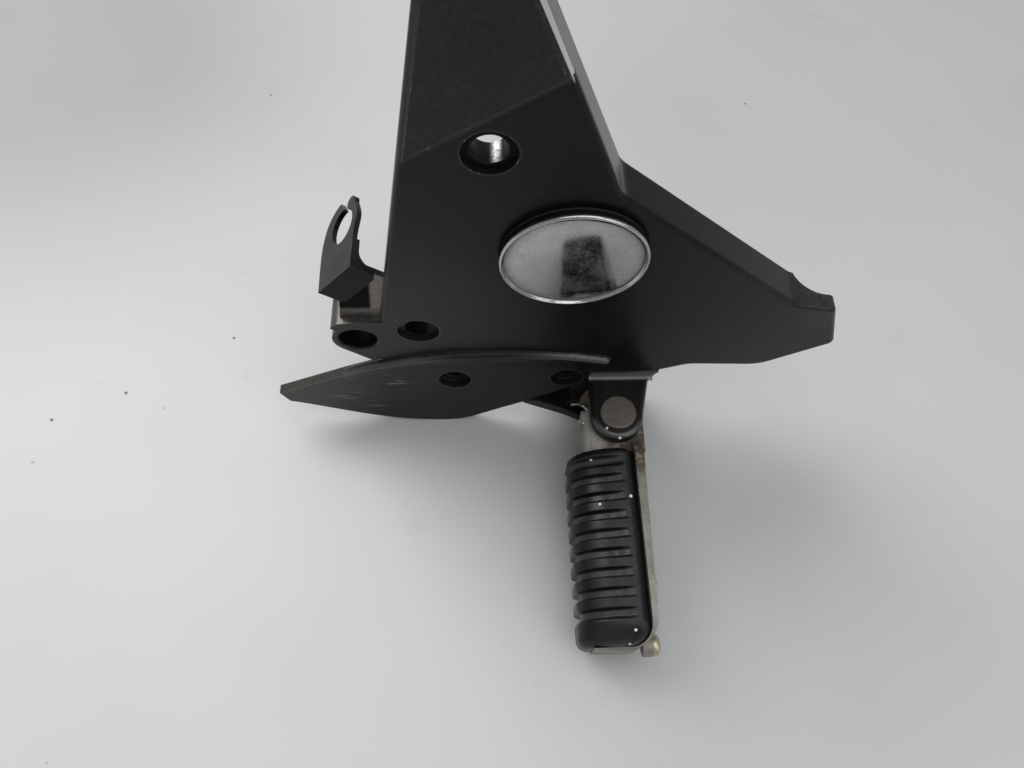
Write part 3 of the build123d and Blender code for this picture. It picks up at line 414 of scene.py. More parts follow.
def paint_colour(f, paint, cloud, crease, above):
    """The paint's colour: a dry film, a painted reflection on the lower left and the wing, painted highlights
    on edges and the clevis ear's rim, grit, and a painted shade line in the crease.
    """
    dust_and_reflection = f.added(0.02, f.larger(above, f.patch("scoop")), 0.40)
    # Painted reflection: the lower left and the wing are lightened towards the film's colour.
    dust_and_reflection = f.added(dust_and_reflection, f.larger(f.patch("low corner reflection"), f.ramp(f.x, 0.060, 0.130)), 0.38)
    dust_and_reflection = f.added(dust_and_reflection, f.ramp(f.z, -0.134, -0.146), 0.14)
    dust_and_reflection = f.added(dust_and_reflection, f.patch("blade tip"), 1.05)
    mottle = f.added(f.times(cloud, 0.5), f.noise(650.0, 5.0, 0.75), 0.9)
    dust_and_reflection = f.times(dust_and_reflection, f.ramp(mottle, 0.50, 0.90, 0.45, 1.15))
    colour = f.blend(dust_and_reflection, paint.colour[:], paint.dust_and_painted_light[:])
    # Painted highlight: rounded edges are lightened.
    colour = f.blend(f.times(f.edges(0.0022), 0.30), colour, (0.085, 0.085, 0.088))
    grit = f.times(f.specks(230.0, 0.05), f.ramp(f.noise(30.0, 2.0), 0.45, 0.6))
    colour = f.blend(f.times(grit, 0.6), colour, (0.20, 0.19, 0.17))
    film = f.times(f.specks(950.0, 0.22), f.ramp(f.noise(80.0, 3.0), 0.42, 0.62))
    colour = f.blend(f.times(film, 0.16), colour, (0.14, 0.135, 0.125))
    # Painted highlight along the clevis ear's rounded rim.
    rim = f.times(f.edges(0.0014), f.patch("clevis ear"))
    colour = f.blend(f.times(rim, 0.55), colour, (0.20, 0.20, 0.205))
    # Painted shade: a dark line along the crease's step.
    line = f.ramp(f.maths("ABSOLUTE", f.maths("ADD", crease, 0.0006)), 0.0009, 0.0003)
    return f.blend(f.times(line, 0.85), colour, (0.0015, 0.0015, 0.0015))


def lug_wear(f, facing):
    """Where the lug under the clip is bare, with a band standing in for a painted highlight, and where it
    gets painted shade.
    """
    lug = f.times(f.patch("lug"), f.ramp(facing[0], 0.5, 0.1), f.ramp(f.y, FACE_Y + 0.0006, FACE_Y + 0.0016))
    # The bare strip follows the plate's leaning edge, and widens above the boss in a band that is a painted
    # highlight.
    beside = f.maths("SUBTRACT", f.x, f.added(-0.0356, f.z, 0.136))
    # Painted shade: the lug's face left of the strip, above the boss, is blacked.
    lug_shade = f.times(lug, f.ramp(beside, -0.0020, -0.0036), f.ramp(f.z, -0.0925, -0.0890))
    strip = f.larger(f.ramp(beside, -0.0040, -0.0020), f.times(f.ramp(f.z, -0.0890, -0.0925), 0.5))
    bare = f.times(lug, strip, f.ramp(f.noise(320.0, 4.0), 0.30, 0.60, 0.4, 0.9))
    return bare, lug_shade


def blade_scratches(f, facing):
    """A few dry scratches across the blade's outer face."""
    streak = f.node("ShaderNodeMapping", Vector=f.place, Scale=(60.0, 60.0, 420.0), Rotation=(0.0, 0.35, 0.0))
    scratch = f.ramp(f.noise(1.0, 3.0, 0.6, streak.outputs[0]), 0.60, 0.68)
    return f.times(scratch, f.patch("blade scratches"), f.ramp(facing[1], -0.3, -0.6))


def bores(f, look, lug_shade):
    """Painted shade inside the bores, spot faces and cylinder holes; the upper bore is bare metal, bright
    down one side, the lower one browned.
    """
    rings = f.node("ShaderNodeTexWave", {"wave_type": "BANDS", "bands_direction": "Y"}, Vector=f.place,
                   Scale=420.0)
    side = f.maths("DIVIDE", f.x, BOLT_R)
    bright_side = f.times(f.ramp(side, -0.10, 0.40), f.ramp(side, 0.72, 0.50))
    bright_side = f.times(bright_side, f.ramp(f.noise(900.0, 4.0), 0.30, 0.60, 0.25, 0.85))
    machined = f.surface(Base_Color=f.blend(bright_side, (0.030, 0.032, 0.034), (0.66, 0.66, 0.68)), Metallic=1.0,
                         Roughness=0.3, Normal=f.bump(rings.outputs["Fac"], 0.35))
    stain = f.blend(f.ramp(f.x, -0.031, -0.0275), SHADE_BLACK, (0.050, 0.028, 0.015))
    brown = f.surface(Base_Color=stain, Roughness=0.9, Specular_IOR_Level=0.05)
    black = f.surface(Base_Color=SHADE_BLACK, Roughness=0.9, Specular_IOR_Level=0.05)
    # Painted shade: the lug's face beside the clip is blacked.
    look = f.mixed(f.times(lug_shade, 0.9), look, black)
    # Painted shade in the spot faces round the bolts.
    seat = f.ramp(f.y, FACE_Y + 0.0002, FACE_Y + 0.0010)
    for axis in BOLTS:
        look = f.mixed(f.times(f.around(axis, SPOT_FACE_R, 0.0005), seat, 0.7), look, black)
    # Painted shade inside the bores, with the upper one bare metal on one side and the lower one browned.
    for axis, radius, inside in ((BOLTS[0], BOLT_R, machined), (BOLTS[1], BOLT_R, brown),
                                 (SIDE_BORE, SIDE_BORE_R, black)):
        look = f.mixed(f.times(f.around(axis, radius + BORE_SKIN, 0.00015), 0.95), look, inside)
    # Painted shade deep in the cylinder holes.
    deep = f.ramp(f.y, FACE_Y + 0.0015, FACE_Y + 0.0045)
    for axis in CYLINDER_HOLES:
        look = f.mixed(f.times(f.around(axis, CYLINDER_SEAT_R, 0.0010), deep, 0.8), look, black)
    return look


def paint_finish(paint):
    """Satin black paint over cast alloy: a dry film above the crease, rubbed on edges, scratched on the
    blade, with painted highlights and painted shade.
    """
    f = Finish("satin_black_paint")
    facing = f.facing()
    cloud = f.noise(35.0, 4.0)
    fine = f.noise(1400.0, 2.0)
    crease = f.maths("SUBTRACT", f.z, f.added(CREASE_Z, f.x, CREASE_SLOPE))
    above = f.ramp(crease, -0.0015, 0.0015)
    colour = paint_colour(f, paint, cloud, crease, above)
    # The bead's upper side gets a painted highlight, lighter in colour, and a glossier finish.
    sheen = f.times(f.ramp(facing[2], 0.15, 0.60), f.ramp(f.z, -0.124, -0.128),
                    f.ramp(facing[1], 0.0, -0.3, 0.0, 0.8))
    colour = f.blend(f.times(sheen, 0.38), colour, (0.095, 0.095, 0.097))
    rough = f.added(f.ramp(cloud, 0.3, 0.7, paint.roughness - 0.03, paint.roughness + 0.06), above, 0.05)
    satin = f.surface(Base_Color=colour, Roughness=rough, Specular_IOR_Level=0.20, Normal=f.bump(fine, 0.08))
    gloss = f.surface(Base_Color=colour, Roughness=0.27, Specular_IOR_Level=0.95, Normal=f.bump(fine, 0.06))
    look = f.mixed(f.larger(f.ramp(facing[0], 0.70, 0.92), sheen), satin, gloss)
    # Bare metal shows on rubbed edges, on the lug beside the boss and in the scratches; on the boss's upper
    # side and in the lug's band above it, it is a painted highlight.
    rub = f.times(f.edges(paint.wear_width), f.ramp(f.noise(260.0, 5.0, 0.7), 0.54, 0.68))
    boss_highlight = f.times(f.patch("boss"), f.ramp(facing[2], 0.05, 0.6))
    lug, lug_shade = lug_wear(f, facing)
    worn = f.larger(f.larger(rub, f.times(boss_highlight, 0.24)), f.times(lug, 0.75))
    worn = f.maths("MAXIMUM", worn, f.times(blade_scratches(f, facing), 0.30), clamp=True)
    metal = f.blend(cloud, paint.metal[:], (0.36, 0.33, 0.29))
    metal = f.blend(f.times(lug, 0.8), metal, (0.19, 0.165, 0.14))
    bare = f.surface(Base_Color=metal, Metallic=0.9, Roughness=f.ramp(fine, 0.3, 0.7, 0.32, 0.5),
                     Normal=f.bump(fine, 0.2))
    look = f.mixed(worn, look, bare)
    # The raised panel's right bevel is worn bright.
    strip = f.times(f.ramp(f.y, FACE_Y - 0.0012, FACE_Y - 0.0009),
                    f.ramp(f.y, FACE_Y + 0.0006, FACE_Y + 0.0001))
    bevel = f.times(f.ramp(facing[0], 0.30, 0.50), f.ramp(facing[1], -0.15, -0.35), above, strip)
    shiny = f.surface(Base_Color=(0.86, 0.86, 0.87), Metallic=1.0, Roughness=0.28)
    look = f.mixed(f.times(bevel, 0.9), look, shiny)
    return f.done(bores(f, f.with_drops(look), lug_shade))


def chrome_finish(cap):
    """Chrome under a dry film, with fine pits, and painted shade on the wall below its rim."""
    f = Finish("pitted_chrome")
    cloud = f.noise(95.0, 5.0, 0.65)
    pits = f.specks(1300.0, 0.34)
    film = f.times(f.ramp(cloud, 0.40, 0.60), f.ramp(f.noise(900.0, 3.0), 0.35, 0.65, 0.06, 0.36))
    grain = f.added(f.noise(1900.0, 3.0), pits, -0.6)
    clean = f.surface(Base_Color=cap.colour[:], Metallic=1.0, Roughness=f.ramp(cloud, 0.35, 0.65, 0.06, 0.11),
                      Normal=f.bump(grain, 0.020))
    dull = f.surface(Base_Color=(0.24, 0.24, 0.23), Roughness=0.6)
    look = f.mixed(f.larger(film, f.times(pits, 0.45)), clean, dull)
    # Painted shade: the cap's wall below the rim is near black.
    dirt_and_shade = f.surface(Base_Color=(0.006, 0.006, 0.006), Roughness=0.7, Specular_IOR_Level=0.1)
    return f.done(f.mixed(f.ramp(f.y, FACE_Y - 0.0036, FACE_Y - 0.0026), look, dirt_and_shade))


def rubber_finish(rubber, first_y, strip_x):
    """Black rubber with its grooves dusted, painted highlights along the grooves and on the tip, and a few
    pale drops.
    """
    f = Finish("dusty_rubber")
    square = f.node("ShaderNodeVectorRotate", {"rotation_type": "Z_AXIS"}, Vector=f.place, Center=HINGE,
                    Angle=-PEG_TURN)
    x, y, _ = f.node("ShaderNodeSeparateXYZ", Vector=square.outputs[0]).outputs
    cloud = f.noise(60.0, 4.0)
    turns = f.maths("DIVIDE", f.maths("SUBTRACT", first_y, y), rubber.groove_pitch)
    nearest = f.maths("MINIMUM", f.larger(f.maths("ROUND", turns), 0.0), float(rubber.groove_count - 1))
    off = f.maths("SUBTRACT", turns, nearest)
    groove = f.times(f.ramp(f.maths("ABSOLUTE", off), 0.21, 0.13), f.ramp(x, strip_x, strip_x - 0.0022))
    # The wall towards the tip gets a painted highlight along its edge, lighter than the groove's floor.
    lip_highlight = f.times(f.ramp(off, 0.15, 0.20), f.ramp(off, 0.27, 0.22), f.ramp(x, strip_x, strip_x - 0.004))
    dust_and_painted_light = f.added(f.added(0.04, groove, 0.55), lip_highlight, 0.45)
    dust_and_painted_light = f.times(dust_and_painted_light, f.ramp(cloud, 0.3, 0.68, 0.35, 1.0))
    # A painted sheen lightens the tip.
    dust_and_painted_light = f.larger(dust_and_painted_light, f.times(f.patch("rubber tip sheen"), 0.16))
    colour = f.blend(dust_and_painted_light, rubber.colour[:], rubber.dust_and_painted_light[:])
    colour = f.blend(f.larger(drops(f), f.times(f.specks(260.0, 0.05), 0.5)), colour, (0.80, 0.80, 0.78))
    return f.done(f.surface(Base_Color=colour, Roughness=f.ramp(cloud, 0.3, 0.7, 0.24, 0.40),
                            Specular_IOR_Level=0.34, Normal=f.bump(f.noise(2200.0, 2.0), 0.08)))


def alloy_finish():
    """Bare cast alloy, sandy, with brown grime at its root."""
    f = Finish("bare_alloy")
    cloud = f.noise(70.0, 5.0, 0.65)
    fine = f.noise(1500.0, 3.0)
    grit = f.noise(620.0, 4.0, 0.6)
    blots = f.noise(300.0, 5.0)
    colour = f.blend(f.ramp(cloud, 0.35, 0.7), (0.305, 0.29, 0.262), (0.205, 0.19, 0.163))
    colour = f.blend(f.ramp(grit, 0.52, 0.66, 0.0, 0.5), colour, (0.15, 0.135, 0.11))
    root = f.times(f.patch("peg root"), f.ramp(blots, 0.34, 0.56))
    heel = f.times(f.patch("tongue heel"), f.ramp(blots, 0.3, 0.6))
    grime = f.larger(root, heel)
    colour = f.blend(grime, colour, (0.085, 0.060, 0.042))
    metal = f.surface(Base_Color=colour, Metallic=0.45, Roughness=f.ramp(cloud, 0.3, 0.7, 0.45, 0.6),
                      Normal=f.bump(fine, 0.35))
    dirt_and_shade = f.surface(Base_Color=(0.075, 0.052, 0.036), Roughness=0.8, Normal=f.bump(fine, 0.4))
    return f.done(f.with_drops(f.mixed(f.times(grime, 0.85), metal, dirt_and_shade)))


def plastic_finish():
    """Smooth black plastic with faint rubbing on its edges, and painted shade on the side that faces -Y."""
    f = Finish("clip_plastic")
    rub = f.times(f.edges(0.0005), f.ramp(f.noise(400.0, 4.0), 0.42, 0.62))
    colour = f.blend(f.times(rub, 0.5), (0.009, 0.009, 0.0095), (0.16, 0.16, 0.16))
    smooth = f.surface(Base_Color=colour, Roughness=f.ramp(f.noise(110.0, 3.0), 0.3, 0.7, 0.28, 0.38),
                       Specular_IOR_Level=0.35, Normal=f.bump(f.noise(1100.0, 2.0), 0.05))
    # Painted shade: the side facing -Y is near black with little shine.
    shaded_side = f.surface(Base_Color=(0.003, 0.003, 0.003), Roughness=0.6, Specular_IOR_Level=0.1)
    return f.done(f.mixed(f.ramp(f.facing()[1], -0.6, -0.95, 0.0, 0.75), smooth, shaded_side))


def steel_finish(name, clean, stain, share, rough, rim=0.0):
    """Plated or bare steel with a stain that comes and goes, and edges rubbed clean."""
    f = Finish(name)
    fine = f.noise(2600.0, 3.0)
    stained = f.ramp(f.noise(240.0, 5.0, 0.65), 0.62 - share * 0.3, 0.72)
    colour = f.blend(stained, clean, stain)
    if rim:
        colour = f.blend(f.times(f.edges(0.0006), rim), colour, (0.42, 0.40, 0.34))
    return f.done(f.surface(Base_Color=colour, Metallic=f.ramp(stained, 0.0, 1.0, 0.95, 0.45),
                            Roughness=f.ramp(fine, 0.3, 0.7, rough - 0.06, rough + 0.10),
                            Normal=f.bump(fine, 0.16)))


def gasket_finish():
    """Matt foam rubber."""
    f = Finish("foam_gasket")
    fine = f.noise(2400.0, 3.0)
    colour = f.blend(fine, (0.012, 0.012, 0.012), (0.022, 0.022, 0.021))
    return f.done(f.surface(Base_Color=colour, Roughness=0.85, Normal=f.bump(fine, 0.4)))


def floor_finish(stage):
    """A pale painted floor with faint clouds and a few specks, and painted shade that darkens it towards the
    right, the back and the back left.
    """
    f = Finish("pale_floor")
    colour = f.blend(f.ramp(f.noise(5.0, 3.0), 0.3, 0.7, 0.0, 0.5), stage.floor_colour[:], (0.55, 0.55, 0.56))
    colour = f.blend(f.ramp(f.noise(38.0, 6.0, 0.7), 0.60, 0.78, 0.0, 0.30), colour, (0.44, 0.44, 0.45))
    specks = f.times(f.specks(42.0, 0.045), f.ramp(f.noise(9.0, 1.0), 0.52, 0.6))
    colour = f.blend(specks, colour, (0.09, 0.085, 0.08))
    # Painted shade: the floor darkens towards the right, the back and the back left corner.
    painted_falloff = f.added(f.ramp(f.x, -0.16, 0.10, 0.0, 0.15), f.patch("floor corner shade"), 0.32)
    painted_falloff = f.maths("ADD", painted_falloff, f.ramp(f.y, 0.05, 0.25, 0.0, 0.06))
    return f.done(f.surface(Base_Color=f.blend(painted_falloff, colour, (0.02, 0.02, 0.02)), Roughness=0.55))


def add_object(name, mesh):
    """Links a mesh to the scene as an object at the origin."""
    made = bpy.data.objects.new(name, mesh)
    bpy.context.scene.collection.objects.link(made)
    return made


def loft(name, rings):
    """Closes rings of points into a mesh with a middle point at each end."""
    count = len(rings[0])
    points = [tuple(p) for ring in rings for p in ring]
    faces = []
    for row in range(len(rings) - 1):
        for step in range(count):
            following = (step + 1) % count
            faces.append((row * count + step, row * count + following, (row + 1) * count + following,
                          (row + 1) * count + step))
    for row, turned in ((0, True), (len(rings) - 1, False)):
        points.append(tuple(np.mean(rings[row], axis=0)))
        middle = len(points) - 1
        for step in range(count):
            following = (step + 1) % count
            edge = (row * count + step, row * count + following)
            faces.append((*(edge[::-1] if turned else edge), middle))
    mesh = bpy.data.meshes.new(name)
    mesh.from_pydata(points, [], faces)
    made = bmesh.new()
    made.from_mesh(mesh)
    bmesh.ops.recalc_face_normals(made, faces=made.faces)
    made.to_mesh(mesh)
    made.free()
    mesh.shade_smooth()
    return mesh


class Tree(Nodes):
    """A Geometry Nodes tree with named inputs."""

    def __init__(self, name):
        self.tree = bpy.data.node_groups.new(name, "GeometryNodeTree")
        self.tree.interface.new_socket("Geometry", in_out="INPUT", socket_type="NodeSocketGeometry")
        self.tree.interface.new_socket("Geometry", in_out="OUTPUT", socket_type="NodeSocketGeometry")
        self.inlet = self.node("NodeGroupInput")
        self.outlet = self.node("NodeGroupOutput")
        self.identifiers = {}

    def size(self, name, kind="NodeSocketFloat"):
        """Adds a named input and gives its socket."""
        made = self.tree.interface.new_socket(name, in_out="INPUT", socket_type=kind)
        self.identifiers[name] = made.identifier
        return self.inlet.outputs[name]

    def finish(self, geometry, material):
        """Ends the tree in Realize Instances and Set Material."""
        real = self.node("GeometryNodeRealizeInstances", Geometry=geometry)
        dressed = self.node("GeometryNodeSetMaterial", Geometry=real.outputs[0])
        dressed.inputs["Material"].default_value = material
        self.tree.links.new(dressed.outputs[0], self.outlet.inputs[0])

    def apply(self, piece, **sizes):
        """Runs the tree on a piece, and leaves a plain mesh."""
        modifier = piece.modifiers.new("shape", "NODES")
        modifier.node_group = self.tree
        for name, value in sizes.items():
            modifier[self.identifiers[name.replace("_", " ")]] = value
        graph = bpy.context.evaluated_depsgraph_get()
        mesh = bpy.data.meshes.new_from_object(piece.evaluated_get(graph))
        piece.modifiers.clear()
        piece.data = mesh


def untwisted(node_name):
    """The corners of a peg piece's box, with the peg's turn about its hinge undone."""
    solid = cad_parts[node_name]
    back = Matrix.Translation(HINGE) @ Matrix.Rotation(-PEG_TURN, 4, "Z") @ Matrix.Translation(-HINGE)
    points = np.array([back @ (solid.matrix_world @ vertex.co) for vertex in solid.data.vertices])
    return points.min(axis=0), points.max(axis=0)


def rounded_end(away, radius):
    """How far an edge stands back at a distance from the end, where the end is rounded."""
    if away >= radius:
        return 0.0
    return radius - math.sqrt(max(radius ** 2 - (radius - away) ** 2, 0.0))


def d_section(rubber, box, y):
    """The rubber's D-shaped section at a place along the peg, drawn in by the rounds at both ends."""
    low, high = box
    to_tip, to_root = y - low[1], high[1] - y
    crown_x = low[0] + rounded_end(to_tip, rubber.nose_radius) + rounded_end(to_root, rubber.nose_radius)
    base_x = high[0] - rounded_end(to_tip, rubber.pad_radius) - rounded_end(to_root, rubber.root_radius)
    drawn = rounded_end(to_tip, rubber.tip_radius) + rounded_end(to_root, rubber.shoulder_radius)
    middle = (low[2] + high[2]) / 2
    half = (high[2] - low[2]) / 2 - drawn
    width = rubber.crown_width * half / (half + drawn)
    reach = min(rubber.crown_reach, base_x - crown_x - rubber.base_radius)
    bend_x = crown_x + reach
    radius = min(rubber.base_radius, half)
    curve = []
    for step in range(CROWN_STEPS + 1):
        angle = math.radians(90 * step / CROWN_STEPS)
        curve.append((bend_x - reach * math.sin(angle), half - width * (1 - math.cos(angle))))
    corner = []
    for step in range(CORNER_STEPS):
        angle = math.radians(90 * step / CORNER_STEPS)
        corner.append((base_x - radius * (1 - math.cos(angle)), half - radius * (1 - math.sin(angle))))
    run = base_x - radius - bend_x
    straight = [(bend_x + run * step / STRAIGHT_STEPS, half) for step in range(STRAIGHT_STEPS, 0, -1)]
    across = [(base_x, (half - radius) * step / BASE_STEPS) for step in range(1, BASE_STEPS)]
    nose = [(crown_x, (half - width) * step / NOSE_STEPS) for step in range(NOSE_STEPS - 1, 0, -1)]
    # The line runs from the middle of the base round to the crown, and back on the other side.
    line = [(base_x, 0.0)] + across + corner + straight + curve + nose
    points = [(px, y, middle - pz) for px, pz in line]
    points += [(px, y, middle + pz) for px, pz in [(crown_x, 0.0)] + line[:0:-1]]
    return [np.array(point) for point in points]


def groove_tree(material):
    """Sinks evenly spaced grooves into a smooth peg."""
    t = Tree("peg_grooves")
    pitch = t.size("Groove pitch")
    width = t.size("Groove width")
    depth = t.size("Groove depth")
    count = t.size("Groove count")
    first = t.size("First groove")
    strip = t.size("Plain strip")
    place = t.node("GeometryNodeInputPosition").outputs[0]
    xyz = t.node("ShaderNodeSeparateXYZ", Vector=place).outputs
    turns = t.maths("DIVIDE", t.maths("SUBTRACT", first, xyz[1]), pitch)
    last = t.maths("SUBTRACT", count, 1.0)
    nearest = t.larger(t.maths("MINIMUM", t.maths("ROUND", turns), last), 0.0)
    off = t.times(t.maths("ABSOLUTE", t.maths("SUBTRACT", turns, nearest)), pitch)
    half = t.times(width, 0.5)
    sink = t.ramp(off, t.maths("SUBTRACT", half, GROOVE_WALL), t.maths("ADD", half, GROOVE_WALL), depth, 0.0)
    fading = t.maths("SUBTRACT", strip, GROOVE_FADE)
    free = t.ramp(xyz[0], fading, t.maths("ADD", strip, GROOVE_END), 1.0, 0.0)
    inward = t.times(t.times(sink, free), -1.0)
    normal = t.node("GeometryNodeInputNormal").outputs[0]
    sides = t.node("ShaderNodeSeparateXYZ", Vector=normal).outputs
    inwards = t.node("ShaderNodeCombineXYZ", X=t.times(sides[0], inward), Z=t.times(sides[2], inward))
    moved = t.node("GeometryNodeSetPosition", Geometry=t.inlet.outputs[0], Offset=inwards.outputs[0])
    t.finish(moved.outputs[0], material)
    return t


class FOOTREST_OT_rubber(bpy.types.Operator):
    """Builds the peg's rubber with rounded grooves, in place of its plain solid."""
    bl_idname = "footrest.rubber"
    bl_label = "Peg rubber"

    def execute(self, context):
        rubber = context.scene.footrest_rubber
        box = untwisted("footpeg_rubber")
        low, high = box
        # Rings stand closer together round both ends.
        ends = [rubber.tip_radius * (1 - math.cos(math.radians(90 * step / END_RINGS)))
                for step in range(END_RINGS)]
        start = low[1] + rubber.tip_radius
        run = high[1] - rubber.tip_radius - start
        places = [low[1] + end for end in ends]
        places += [start + run * step / PLAIN_RINGS for step in range(PLAIN_RINGS)]
        places += [high[1] - end for end in reversed(ends)]
        rings = [d_section(rubber, box, y) for y in reversed(places)]
        first_y = high[1] - rubber.groove_first
        strip_x = high[0] - rubber.plain_strip
        material = rubber_finish(rubber, first_y, strip_x)
        piece = add_object("peg_rubber", loft("peg_rubber", rings))
        groove_tree(material).apply(
            piece, Groove_pitch=rubber.groove_pitch, Groove_width=rubber.groove_width,
            Groove_depth=rubber.groove_depth, Groove_count=float(rubber.groove_count),
            First_groove=first_y, Plain_strip=strip_x)
        piece.data.transform(Matrix.Translation(HINGE) @ Matrix.Rotation(PEG_TURN, 4, "Z")
                             @ Matrix.Translation(-HINGE))
        piece.data.shade_smooth()
        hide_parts("footpeg_rubber")
        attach(piece, "footpeg")
        return {"FINISHED"}


def leg_tree(material):
    """Sets copies of one leg round a circle."""
    t = Tree("snap_legs")
    count = t.size("Count", "NodeSocketInt")
    points = t.node("GeometryNodeMeshLine", {"mode": "OFFSET"}, Count=count)
    points.inputs["Offset"].default_value = (0.0, 0.0, 0.0)
    index = t.node("GeometryNodeInputIndex").outputs[0]
    angle = t.maths("DIVIDE", t.times(index, 2 * math.pi), count)
    turn = t.node("ShaderNodeCombineXYZ", Z=angle)
    euler = t.node("FunctionNodeEulerToRotation")
    t.tree.links.new(turn.outputs[0], euler.inputs[0])
    copies = t.node("GeometryNodeInstanceOnPoints", Points=points.outputs[0], Instance=t.inlet.outputs[0],
                    Rotation=euler.outputs[0])
    t.finish(copies.outputs[0], material)
    return t


class FOOTREST_OT_cap(bpy.types.Operator):
    """Builds the chromed cap as a smooth turned dish with its snap legs."""
    bl_idname = "footrest.cap"
    bl_label = "Pivot cap"

    def execute(self, context):
        cap = context.scene.footrest_cap
        low, high = CAP_BOX
        rim = (high[0] - low[0]) / 2
        centre = Vector(((low[0] + high[0]) / 2, FACE_Y, (low[2] + high[2]) / 2))
        base = cap.gasket
        top = base + cap.height
        dish = top - cap.dish
        inside = rim - CAP_WALL
        profile = [(inside, dish - CAP_WALL), (inside, base), (inside + CAP_CORNER, base),
                   (rim - CAP_CORNER, base), (rim, base + CAP_CORNER), (rim, top - cap.edge_radius)]
        for step in range(1, ROLL_STEPS + 1):
            angle = math.radians(90 * step / ROLL_STEPS)
            profile.append((rim - cap.edge_radius * (1 - math.cos(angle)),
                            top - cap.edge_radius * (1 - math.sin(angle))))
        dish_r = rim - cap.rim_width
        roll = dish_r + cap.rim_width / 2
        profile += [(roll + (dish_r - roll) * s, top + (dish - top) * (3 * s * s - 2 * s ** 3))
                    for s in ROLL_DOWN]
        for step in range(1, DOME_STEPS):
            away = 1 - step / DOME_STEPS
            profile.append((dish_r * away, dish + cap.dome * (1 - away ** 2)))
        rings = []
        for radius, level in profile:
            turns = (2 * math.pi * step / TURN_STEPS for step in range(TURN_STEPS))
            rings.append([(centre.x + radius * math.cos(turn), centre.y - level,
                           centre.z + radius * math.sin(turn)) for turn in turns])
        material = chrome_finish(cap)
        shell = loft("pivot_cap_shell", rings)
        shell.materials.append(material)
        piece = add_object("chromed_cap", shell)
        leg = self.leg(cap, dish - CAP_WALL)
        leg_tree(material).apply(leg, Count=cap.legs)
        leg.data.transform(Matrix.Translation(centre) @ Matrix.Rotation(math.radians(90), 4, "X"))
        for made in (piece, leg):
            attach(made, "hanger")
        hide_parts("pivot_cap")
        return {"FINISHED"}

    def leg(self, cap, under):
        """One snap leg with its hook, standing along Z at the circle's edge."""
        outside = cap.leg_radius
        inside = outside - CAP_WALL
        leg_top = under + LEG_SUNK
        hook_top = -cap.plate
        hook_low = hook_top - HOOK_HEIGHT
        section = [(inside, leg_top), (outside, leg_top), (outside, hook_top), (outside + cap.hook, hook_top),
                   (outside + CAP_CORNER, hook_low), (inside, hook_low)]
        spread = cap.leg_width / outside
        rings = []
        for step in range(LEG_STEPS + 1):
            angle = spread * (step / LEG_STEPS - 0.5)
            rings.append([(radius * math.cos(angle), radius * math.sin(angle), level)
                          for radius, level in section])
        mesh = loft("snap_leg", rings)
        mesh.shade_flat()
        return add_object("snap_legs", mesh)


class FOOTREST_OT_finishes(bpy.types.Operator):
    """Gives each solid of the frame its finish."""
    bl_idname = "footrest.finishes"
    bl_label = "Finishes"

    def execute(self, context):
        dress("hanger_casting", paint_finish(context.scene.footrest_paint))
        dress("cap_gasket", gasket_finish())
        dress("hose_clip", plastic_finish())
        dress("footpeg_bracket", alloy_finish())
        plated = steel_finish("plated_steel", (0.50, 0.49, 0.46), (0.22, 0.17, 0.11), 0.3, 0.36)
        for name in ("rubber_screw_1", "rubber_screw_2", "rubber_washer_1", "rubber_washer_2", "split_pin",
                     "pin_washer", "rubber_backing_plate"):
            dress(name, plated)
        zinc = steel_finish("yellow_zinc", (0.52, 0.47, 0.33), (0.30, 0.25, 0.16), 0.5, 0.38)
        browned = steel_finish("browned_steel", (0.16, 0.14, 0.118), (0.095, 0.076, 0.058), 0.7, 0.50, 0.8)
        sprung = steel_finish("spring_steel", (0.42, 0.41, 0.40), (0.18, 0.14, 0.10), 0.3, 0.34)
        dress("feeler_bolt", zinc)
        dress("pivot_pin", browned)
        dress("return_spring", sprung)
        return {"FINISHED"}


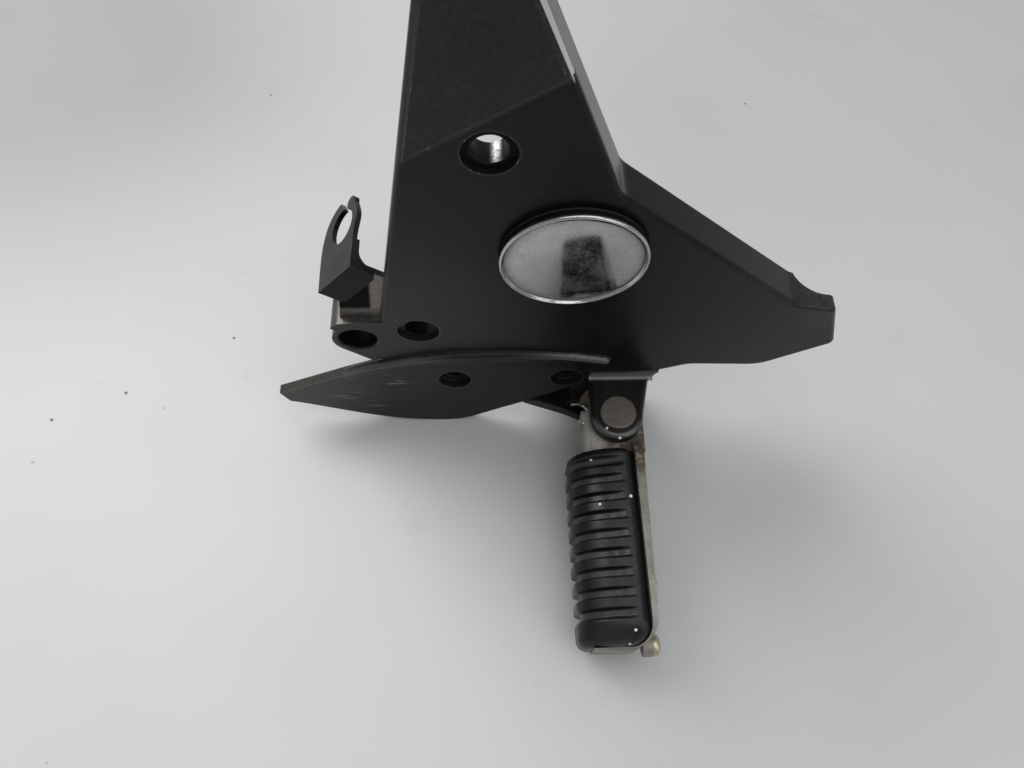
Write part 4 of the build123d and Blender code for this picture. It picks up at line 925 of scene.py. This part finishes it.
class FOOTREST_OT_stage(bpy.types.Operator):
    """Sets the floor, the lamps and the camera."""
    bl_idname = "footrest.stage"
    bl_label = "Stage"

    def execute(self, context):
        stage = context.scene.footrest_stage
        self.floor(stage)
        self.lamps(context)
        camera = bpy.data.cameras.new("camera")
        camera.lens = stage.lens
        camera.sensor_width = 36.0
        camera.clip_start = 0.01
        made = bpy.data.objects.new("camera", camera)
        made.location = stage.camera_place
        made.rotation_euler = stage.camera_tilt
        context.scene.collection.objects.link(made)
        context.scene.camera = made
        return {"FINISHED"}

    def floor(self, stage):
        """A wide pale sheet under the three points that the hanger stands on."""
        foot, normal = self.support()
        across = Vector((1, 0, 0)).cross(normal).normalized()
        along = normal.cross(across)
        made = bmesh.new()
        low = foot - normal * FLOOR_GAP
        corners = [made.verts.new(low + along * sx * FLOOR_HALF + across * sy * FLOOR_HALF)
                   for sx, sy in ((-1, -1), (1, -1), (1, 1), (-1, 1))]
        made.faces.new(corners)
        bmesh.ops.recalc_face_normals(made, faces=made.faces)
        mesh = bpy.data.meshes.new("floor")
        made.to_mesh(mesh)
        made.free()
        if mesh.polygons[0].normal.z < 0:
            mesh.flip_normals()
        mesh.materials.append(floor_finish(stage))
        add_object("floor", mesh)

    def support(self):
        """A foot and the floor's normal, found by tilting the floor until it meets all three feet."""
        groups = []
        for names in STANDS_ON:
            solids = [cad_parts[name] for name in names]
            groups.append([solid.matrix_world @ vertex.co
                           for solid in solids for vertex in solid.data.vertices])
        normal = Vector((0, 0, 1))
        for _ in range(FLOOR_TILTS):
            feet = [min(corners, key=normal.dot) for corners in groups]
            normal = (feet[1] - feet[0]).cross(feet[2] - feet[0]).normalized()
            if normal.z < 0:
                normal.negate()
        return feet[0], normal

    def lamps(self, context):
        """A broad window from the back left, a soft fill and a pale room."""
        for name, (place, size, power, colour) in LAMPS.items():
            lamp = bpy.data.lights.new(name, "AREA")
            lamp.size = size
            lamp.energy = power
            lamp.color = colour
            made = bpy.data.objects.new(name, lamp)
            made.location = place
            made.rotation_euler = (LAMPS_FACE - Vector(place)).to_track_quat("-Z", "Y").to_euler()
            context.scene.collection.objects.link(made)
        world = bpy.data.worlds.new("room")
        context.scene.world = world
        world.use_nodes = True
        sky = world.node_tree.nodes["Background"]
        sky.inputs["Color"].default_value = ROOM_COLOUR
        sky.inputs["Strength"].default_value = ROOM_STRENGTH


class FOOTREST_PT_panel(bpy.types.Panel):
    """Lists the hanger's steps in the sidebar."""
    bl_label = "Footrest hanger"
    bl_idname = "FOOTREST_PT_panel"
    bl_space_type = "VIEW_3D"
    bl_region_type = "UI"
    bl_category = "Footrest"

    def draw(self, context):
        for step in STEPS:
            self.layout.operator(step.bl_idname)


GROUPS = {
    "footrest_paint": FOOTREST_PG_paint,
    "footrest_rubber": FOOTREST_PG_rubber,
    "footrest_cap": FOOTREST_PG_cap,
    "footrest_stage": FOOTREST_PG_stage,
}
STEPS = (FOOTREST_OT_finishes, FOOTREST_OT_rubber, FOOTREST_OT_cap, FOOTREST_OT_stage)


def register():
    for name, group in GROUPS.items():
        bpy.utils.register_class(group)
        setattr(bpy.types.Scene, name, bpy.props.PointerProperty(type=group))
    for kind in (*STEPS, FOOTREST_PT_panel):
        bpy.utils.register_class(kind)


def unregister():
    for kind in (FOOTREST_PT_panel, *reversed(STEPS)):
        bpy.utils.unregister_class(kind)
    for name, group in reversed(GROUPS.items()):
        delattr(bpy.types.Scene, name)
        bpy.utils.unregister_class(group)


def main():
    register()
    bpy.context.scene.view_settings.view_transform = "Standard"
    bpy.ops.footrest.finishes()
    bpy.ops.footrest.rubber()
    bpy.ops.footrest.cap()
    bpy.ops.footrest.stage()


if __name__ == "__main__":
    main()
